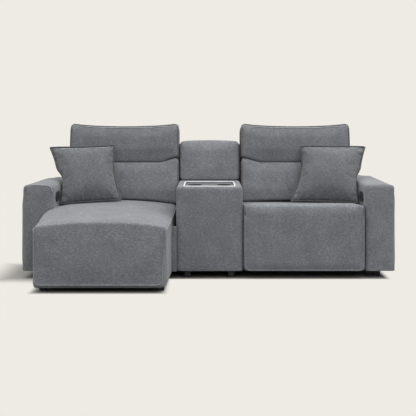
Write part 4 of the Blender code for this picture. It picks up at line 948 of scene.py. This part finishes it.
consoleSet = {"front": 0.0005, "depth": 0.811, "top": 0.604, "tuck": 0.016, "footRound": 0.01, "edge": 0.014,
              "side": 0.018, "wall": 0.025, "lid": 0.13, "voxel": 0.012, "fill": 0.95, "cutRear": 1.0,
              "belly": 0.004, "bellyAt": (0.33, 0.28), "bellyRun": (0.05, 0.0), "tray": (0.344, 0.04, 0.47),
              "trayThick": 0.0123, "trayCorner": 0.02, "trayGap": 0.0003, "cupR": 0.0423, "cupDepth": 0.0873,
              "cupSpacing": 0.194, "cupV": 0.13, "cupTrim": 0.0448, "cupTrimZ": 0.6073,
              "cupTrimRadius": 0.0022, "trayTrimIn": 0.002, "trayTrimZ": 0.6045, "trayTrimRadius": 0.0034}
padSet = {"width": 0.432, "front": 0.59, "thick": 0.13, "top": 0.885, "clear": (0.004, 0.0005),
          "rounds": (0.012, 0.012, 0.032, 0.030), "end": 0.022, "lean": 0.06, "voxel": 0.0105,
          "pressure": 4.0, "cap": 0.012, "fill": 0.85,
          "sewn": {"foot": (0.64, 0.61, 1), "rear": (0.68, 0.71, 1), "side": (0.93, 0.98, 0.9)},
          "panelX": (-0.2125, 0.2350), "panelV": (0.115, 0.128), "panelZ": (0.03, 0.022),
          "panelRounds": (0.002, 0.002, 0.005, 0.005), "panelEnd": 0.004}


# leans the console's pad, and the panel behind it, back by lean over the pad's height
def leaned(points):
    bottom = consoleSet["top"]
    points[:, 1] += padSet["lean"] * (points[:, 2] - bottom) / (padSet["top"] - bottom)
    return roomPoints(points)


# a circle's points in plan
def circlePlan(x, v, radius, sides):
    turn = np.linspace(0, 2 * math.pi, sides, endpoint=False)
    return np.stack([x + radius * np.cos(turn), v + radius * np.sin(turn)], axis=1)


# console body: a taut upholstered box, hollow below, its top let in for the tray and the two cup wells
def makeConsole():
    c = consoleSet
    x0, x1 = lines["chaise1"] + lines["gap"], lines["recliner0"] - lines["gap"]
    middle, past = lines["console"], lines["past"]
    outline = roundedOutline(c["front"], lines["floorClear"] - c["tuck"], c["depth"], c["top"],
                             (c["footRound"], c["footRound"], c["edge"], c["edge"]))
    body = remeshed(carriedBlock("consoleBody", outline, x0, x1, c["side"]), c["voxel"])
    points = readPoints(body)
    x, v, z = points.T
    u = (x - middle) / ((x1 - x0) / 2)
    level, reach = c["bellyAt"]
    w = np.clip((z - level) / reach, -1, 1)
    v -= c["belly"] * (1 - u ** 2) * (1 - w ** 2) * eased(v, *c["bellyRun"])
    writePoints(body, points)
    carvedBox(body, (x0 - past, -past, -past), (x1 + past, c["cutRear"], lines["floorClear"]))
    carvedBox(body, (x0 + c["wall"], c["wall"], -past),
              (x1 - c["wall"], c["depth"] - c["wall"], c["top"] - c["lid"]))
    width, v0, v1 = c["tray"]
    gap = c["trayGap"]
    plan = roundedOutline(middle - width / 2 - gap, v0 - gap, middle + width / 2 + gap, v1 + gap,
                          [c["trayCorner"]] * 4)
    carved(body, plan, c["top"] - c["trayThick"], c["top"] + past, True)
    for x in (middle - c["cupSpacing"] / 2, middle + c["cupSpacing"] / 2):
        well = circlePlan(x, c["cupV"], c["cupR"], 40)
        carved(body, well, c["top"] - c["cupDepth"], c["top"] + past, True)
    moved(body, roomPoints)
    finishSoft(sharpened(body), "base", ["console_body"])


# the console's back pad, a rounded block, blown up and then leaned, and the flat panel behind it
def makeConsolePad():
    p = padSet
    middle, bottom = lines["console"], consoleSet["top"]
    clearV, clearZ = p["clear"]
    outline = roundedOutline(p["front"] + clearV, bottom + clearZ, p["front"] + p["thick"], p["top"],
                             p["rounds"])
    half = p["width"] / 2
    pad = remeshed(carriedBlock("consoleBackPad", outline, middle - half, middle + half, p["end"]), p["voxel"])
    x, v, z = readPoints(pad).T
    held = sewnDown(p["sewn"], foot=z, rear=v, side=np.abs((x - middle) / half))
    evened(stuffed(pad, held, p["pressure"], p["cap"]), 3)
    moved(pad, leaned)
    finishSoft(pad, "base", ["console_back_pad"])
    v0, v1 = (p["front"] + reach for reach in p["panelV"])
    below, short = p["panelZ"]
    outline = roundedOutline(v0, bottom - below, v1, p["top"] - short, p["panelRounds"])
    panel = carriedBlock("consoleRearPanel", outline, *p["panelX"], p["panelEnd"])
    moved(panel, leaned)
    finishPanel(panel)


makeConsole()
makeConsolePad()


# trims: a small oval profile, cos across and 0.7 sin up, carried round a closed plan path at one height
def trimRing(name, plan, z, radius, finish):
    path = roomPoints(np.column_stack([plan, np.full(len(plan), z)]))
    tangent = np.roll(path, -1, axis=0) - np.roll(path, 1, axis=0)
    tangent /= np.linalg.norm(tangent, axis=1, keepdims=True)
    up = np.broadcast_to(np.array([0.0, 0.0, 1.0]), path.shape)
    out = np.cross(tangent, up)
    turn = np.linspace(0, 2 * math.pi, 8, endpoint=False)
    points = path[:, None] + radius * (np.cos(turn)[None, :, None] * out[:, None]
                                       + 0.7 * np.sin(turn)[None, :, None] * up[:, None])
    made = meshPiece(name, points, gridFaces(len(path), 8, True, True).tolist(), finish)
    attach(made, "base")


def makeTrims():
    c = consoleSet
    middle = lines["console"]
    for name, side in (("leftCupTrim", -1), ("rightCupTrim", 1)):
        plan = circlePlan(middle + side * c["cupSpacing"] / 2, c["cupV"], c["cupTrim"], 48)
        trimRing(name, plan, c["cupTrimZ"], c["cupTrimRadius"], blackPlastic)
    width, v0, v1 = c["tray"]
    inset = c["trayTrimIn"]
    plan = roundedOutline(middle - width / 2 + inset, v0 + inset, middle + width / 2 - inset, v1 - inset,
                          [c["trayCorner"]] * 4, 8)
    # the pale ring round the tray paints the highlight along its rim
    trimRing("trayTrim", plan, c["trayTrimZ"], c["trayTrimRadius"], paleHighlightTrim)


makeTrims()
print("console done")

pillowSet = {"half": 0.230, "thick": 0.072, "puff": 0.45, "waist": 0.065, "cells": 60, "pressure": 5.0,
             "cap": 0.03, "slack": 0.02, "fill": 0.6, "yaw": 18.0, "lean": 32.0, "roll": 1.0,
             "outward": 0.010, "clear": 0.004, "press": 0.014, "pressRun": (0.465, 0.49),
             "armRun": (0.71, 0.62),
             "pucker": 0.0055, "puckerPitch": 0.042, "puckerFade": 0.022, "puckerStray": (2.0, 23.0),
             "piping": 0.0058, "pipingOut": 0.7, "raise": (0.0, -0.012, -0.003),
             "highlightDown": (0.0, 0.046, 0.020), "highlightSpan": 0.78, "highlightRadius": 0.0036, "room": 0.055}


# the matrix of a turn about one axis
def turned(axis, degrees):
    c, s = math.cos(math.radians(degrees)), math.sin(math.radians(degrees))
    i, j = [(1, 2), (2, 0), (0, 1)][axis]
    made = np.eye(3)
    made[i, i], made[i, j], made[j, i], made[j, j] = c, -s, s, c
    return made


# throw pillow: two square panels sewn edge to edge; half its thickness is thick times (1 - u^2)(1 - w^2) to
# the power puff, and its edges draw in by waist; slump moves its corners and pull its edges, once blown up
def makePillow(name, side, node, body, slump, pull):
    p = pillowSet
    n = p["cells"]
    grid = np.linspace(-1, 1, n + 1)
    u, w = np.meshgrid(grid, grid, indexing="ij")
    swell = p["thick"] * (np.clip(1 - u ** 2, 0, 1) * np.clip(1 - w ** 2, 0, 1)) ** p["puff"]
    x = p["half"] * u * (1 - p["waist"] * (1 - w ** 2))
    z = p["half"] * w * (1 - p["waist"] * (1 - u ** 2))
    front = np.stack([x, -swell, z], axis=-1).reshape(-1, 3)
    back = np.stack([x, swell, z], axis=-1).reshape(-1, 3)
    edge = (np.abs(u) == 1) | (np.abs(w) == 1)
    index = np.arange((n + 1) ** 2)
    backIndex = np.where(edge.ravel(), index, index + (n + 1) ** 2)
    faces = gridFaces(n + 1, n + 1)
    panels = np.concatenate([faces, backIndex[faces][:, ::-1]])
    pillow = meshPiece(name, np.concatenate([front, back]), panels, fabric)
    work = bmesh.new()
    work.from_mesh(pillow.data)
    bmesh.ops.delete(work, geom=[v for v in work.verts if not v.link_faces], context="VERTS")
    bmesh.ops.recalc_face_normals(work, faces=work.faces)
    work.to_mesh(pillow.data)
    work.free()
    points = readPoints(pillow)
    held = (np.abs(points[:, 1]) < 1e-6).astype(float)
    inside = p["half"] - np.max(np.abs(points[:, [0, 2]]), axis=1)
    along = np.where(np.abs(points[:, 0]) > np.abs(points[:, 2]), points[:, 2], points[:, 0])
    stuffed(pillow, held, p["pressure"], p["cap"], p["slack"])
    points = readPoints(pillow)
    stray, pace = p["puckerStray"]
    wave = np.sin(2 * math.pi * along / p["puckerPitch"] + stray * np.sin(pace * along + side))
    fade = np.exp(-inside / p["puckerFade"])
    points[:, 1] += p["pucker"] * (1 - held) * wave * fade * np.sign(points[:, 1])
    turn = turned(2, side * p["yaw"]) @ turned(0, -p["lean"]) @ turned(1, -side * p["roll"])
    cad = readPoints(nodes[node]) @ turn
    centre = turn @ ((cad.min(0) + cad.max(0)) / 2) - np.array([side * p["outward"], 0.0, 0.0])
    inner = lines["chaise0"] if side > 0 else lines["recliner1"]

    # set in place with its four corners slumped sideways and in height, its side edges pulled in and the
    # others out; below the arm's top, what would lie in the arm is pressed back to its face
    def placed(local):
        u, w = (local[:, 0] / p["half"] + 1) / 2, (local[:, 2] / p["half"] + 1) / 2
        share = np.stack([(1 - u) * (1 - w), u * (1 - w), u * w, (1 - u) * w], axis=1)
        sag = share ** 2 @ np.asarray(slump)
        sag[:, 0] += 4 * w * (1 - w) * (pull[0] * (1 - u) + pull[1] * u)
        sag[:, 1] += 4 * u * (1 - u) * (2 * w - 1) * pull[2]
        spots = local @ turn.T + centre + np.stack([sag[:, 0], np.zeros(len(sag)), sag[:, 1]], axis=1)
        clear = p["clear"] + p["press"] * eased(spots[:, 2], *p["pressRun"])
        sunk = np.clip(side * (inner - spots[:, 0]) + clear, 0, None)
        spots[:, 0] += side * sunk * eased(spots[:, 2], *p["armRun"])
        return spots

    writePoints(pillow, placed(points))
    finishSoft(pillow, body, [node])
    pillow.data.materials[0] = pillowFabric
    top, ones = np.linspace(-1, 1, n, endpoint=False), np.ones(n)
    loop = np.concatenate([np.stack([top, -ones], 1), np.stack([ones, top], 1),
                           np.stack([-top, ones], 1), np.stack([-ones, -top], 1)])
    reach = p["half"] + p["piping"] * p["pipingOut"]
    path = np.stack([reach * loop[:, 0] * (1 - p["waist"] * (1 - loop[:, 1] ** 2)), np.zeros(4 * n),
                     reach * loop[:, 1] * (1 - p["waist"] * (1 - loop[:, 0] ** 2))], axis=1)
    raised = np.clip(loop[:, 1:], 0, 1) ** 6 * (1 - loop[:, :1] ** 6) * np.array(p["raise"])
    cord = welt(name + "Welt", placed(path + raised), p["piping"], body, closed=True, lift=0.0,
                finish=pipingFabric)
    # a pale cord just below the pillow's top welt: painted highlight
    ridge = path[(loop[:, 1] == 1) & (np.abs(loop[:, 0]) < p["highlightSpan"])] - np.array(p["highlightDown"])
    highlightCord = welt(name + "Fold", placed(ridge), p["highlightRadius"], body, pillow, finish=highlightFabric)
    away = turn @ np.array([0.0, 1.0, 0.0])
    anchor = centre - away * (p["thick"] + p["room"])
    for piece in (pillow, cord, highlightCord):
        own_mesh(piece)


makePillow("chaisePillow", 1, "chaise_pillow", "base",
           ((0.0, 0.012), (-0.034, 0.020), (-0.019, -0.006), (-0.012, -0.010)), (0.010, -0.026, 0.003))
makePillow("reclinerPillow", -1, "recliner_pillow", "recliner_seat",
           ((-0.014, 0.006), (0.0, 0.010), (-0.014, -0.012), (-0.004, -0.020)), (0.012, -0.012, 0.003))
print("pillows done")


rearSet = {"front": 0.8055, "rear": 0.8125, "bottom": 0.046, "top": 0.332, "edge": 0.003,
           "rounds": (0.002, 0.003, 0.003, 0.002)}


# fabric panels over the rear rails, seen from behind
def makeRearPanel(name, x0, x1):
    r = rearSet
    outline = roundedOutline(r["front"], r["bottom"], r["rear"], r["top"], r["rounds"])
    panel = carriedBlock(name, outline, x0 + r["edge"], x1 - r["edge"], r["edge"])
    moved(panel, roomPoints)
    finishPanel(panel)


makeRearPanel("chaiseRearPanel", lines["chaise0"], lines["chaise1"])
makeRearPanel("reclinerRearPanel", lines["recliner0"], lines["recliner1"])
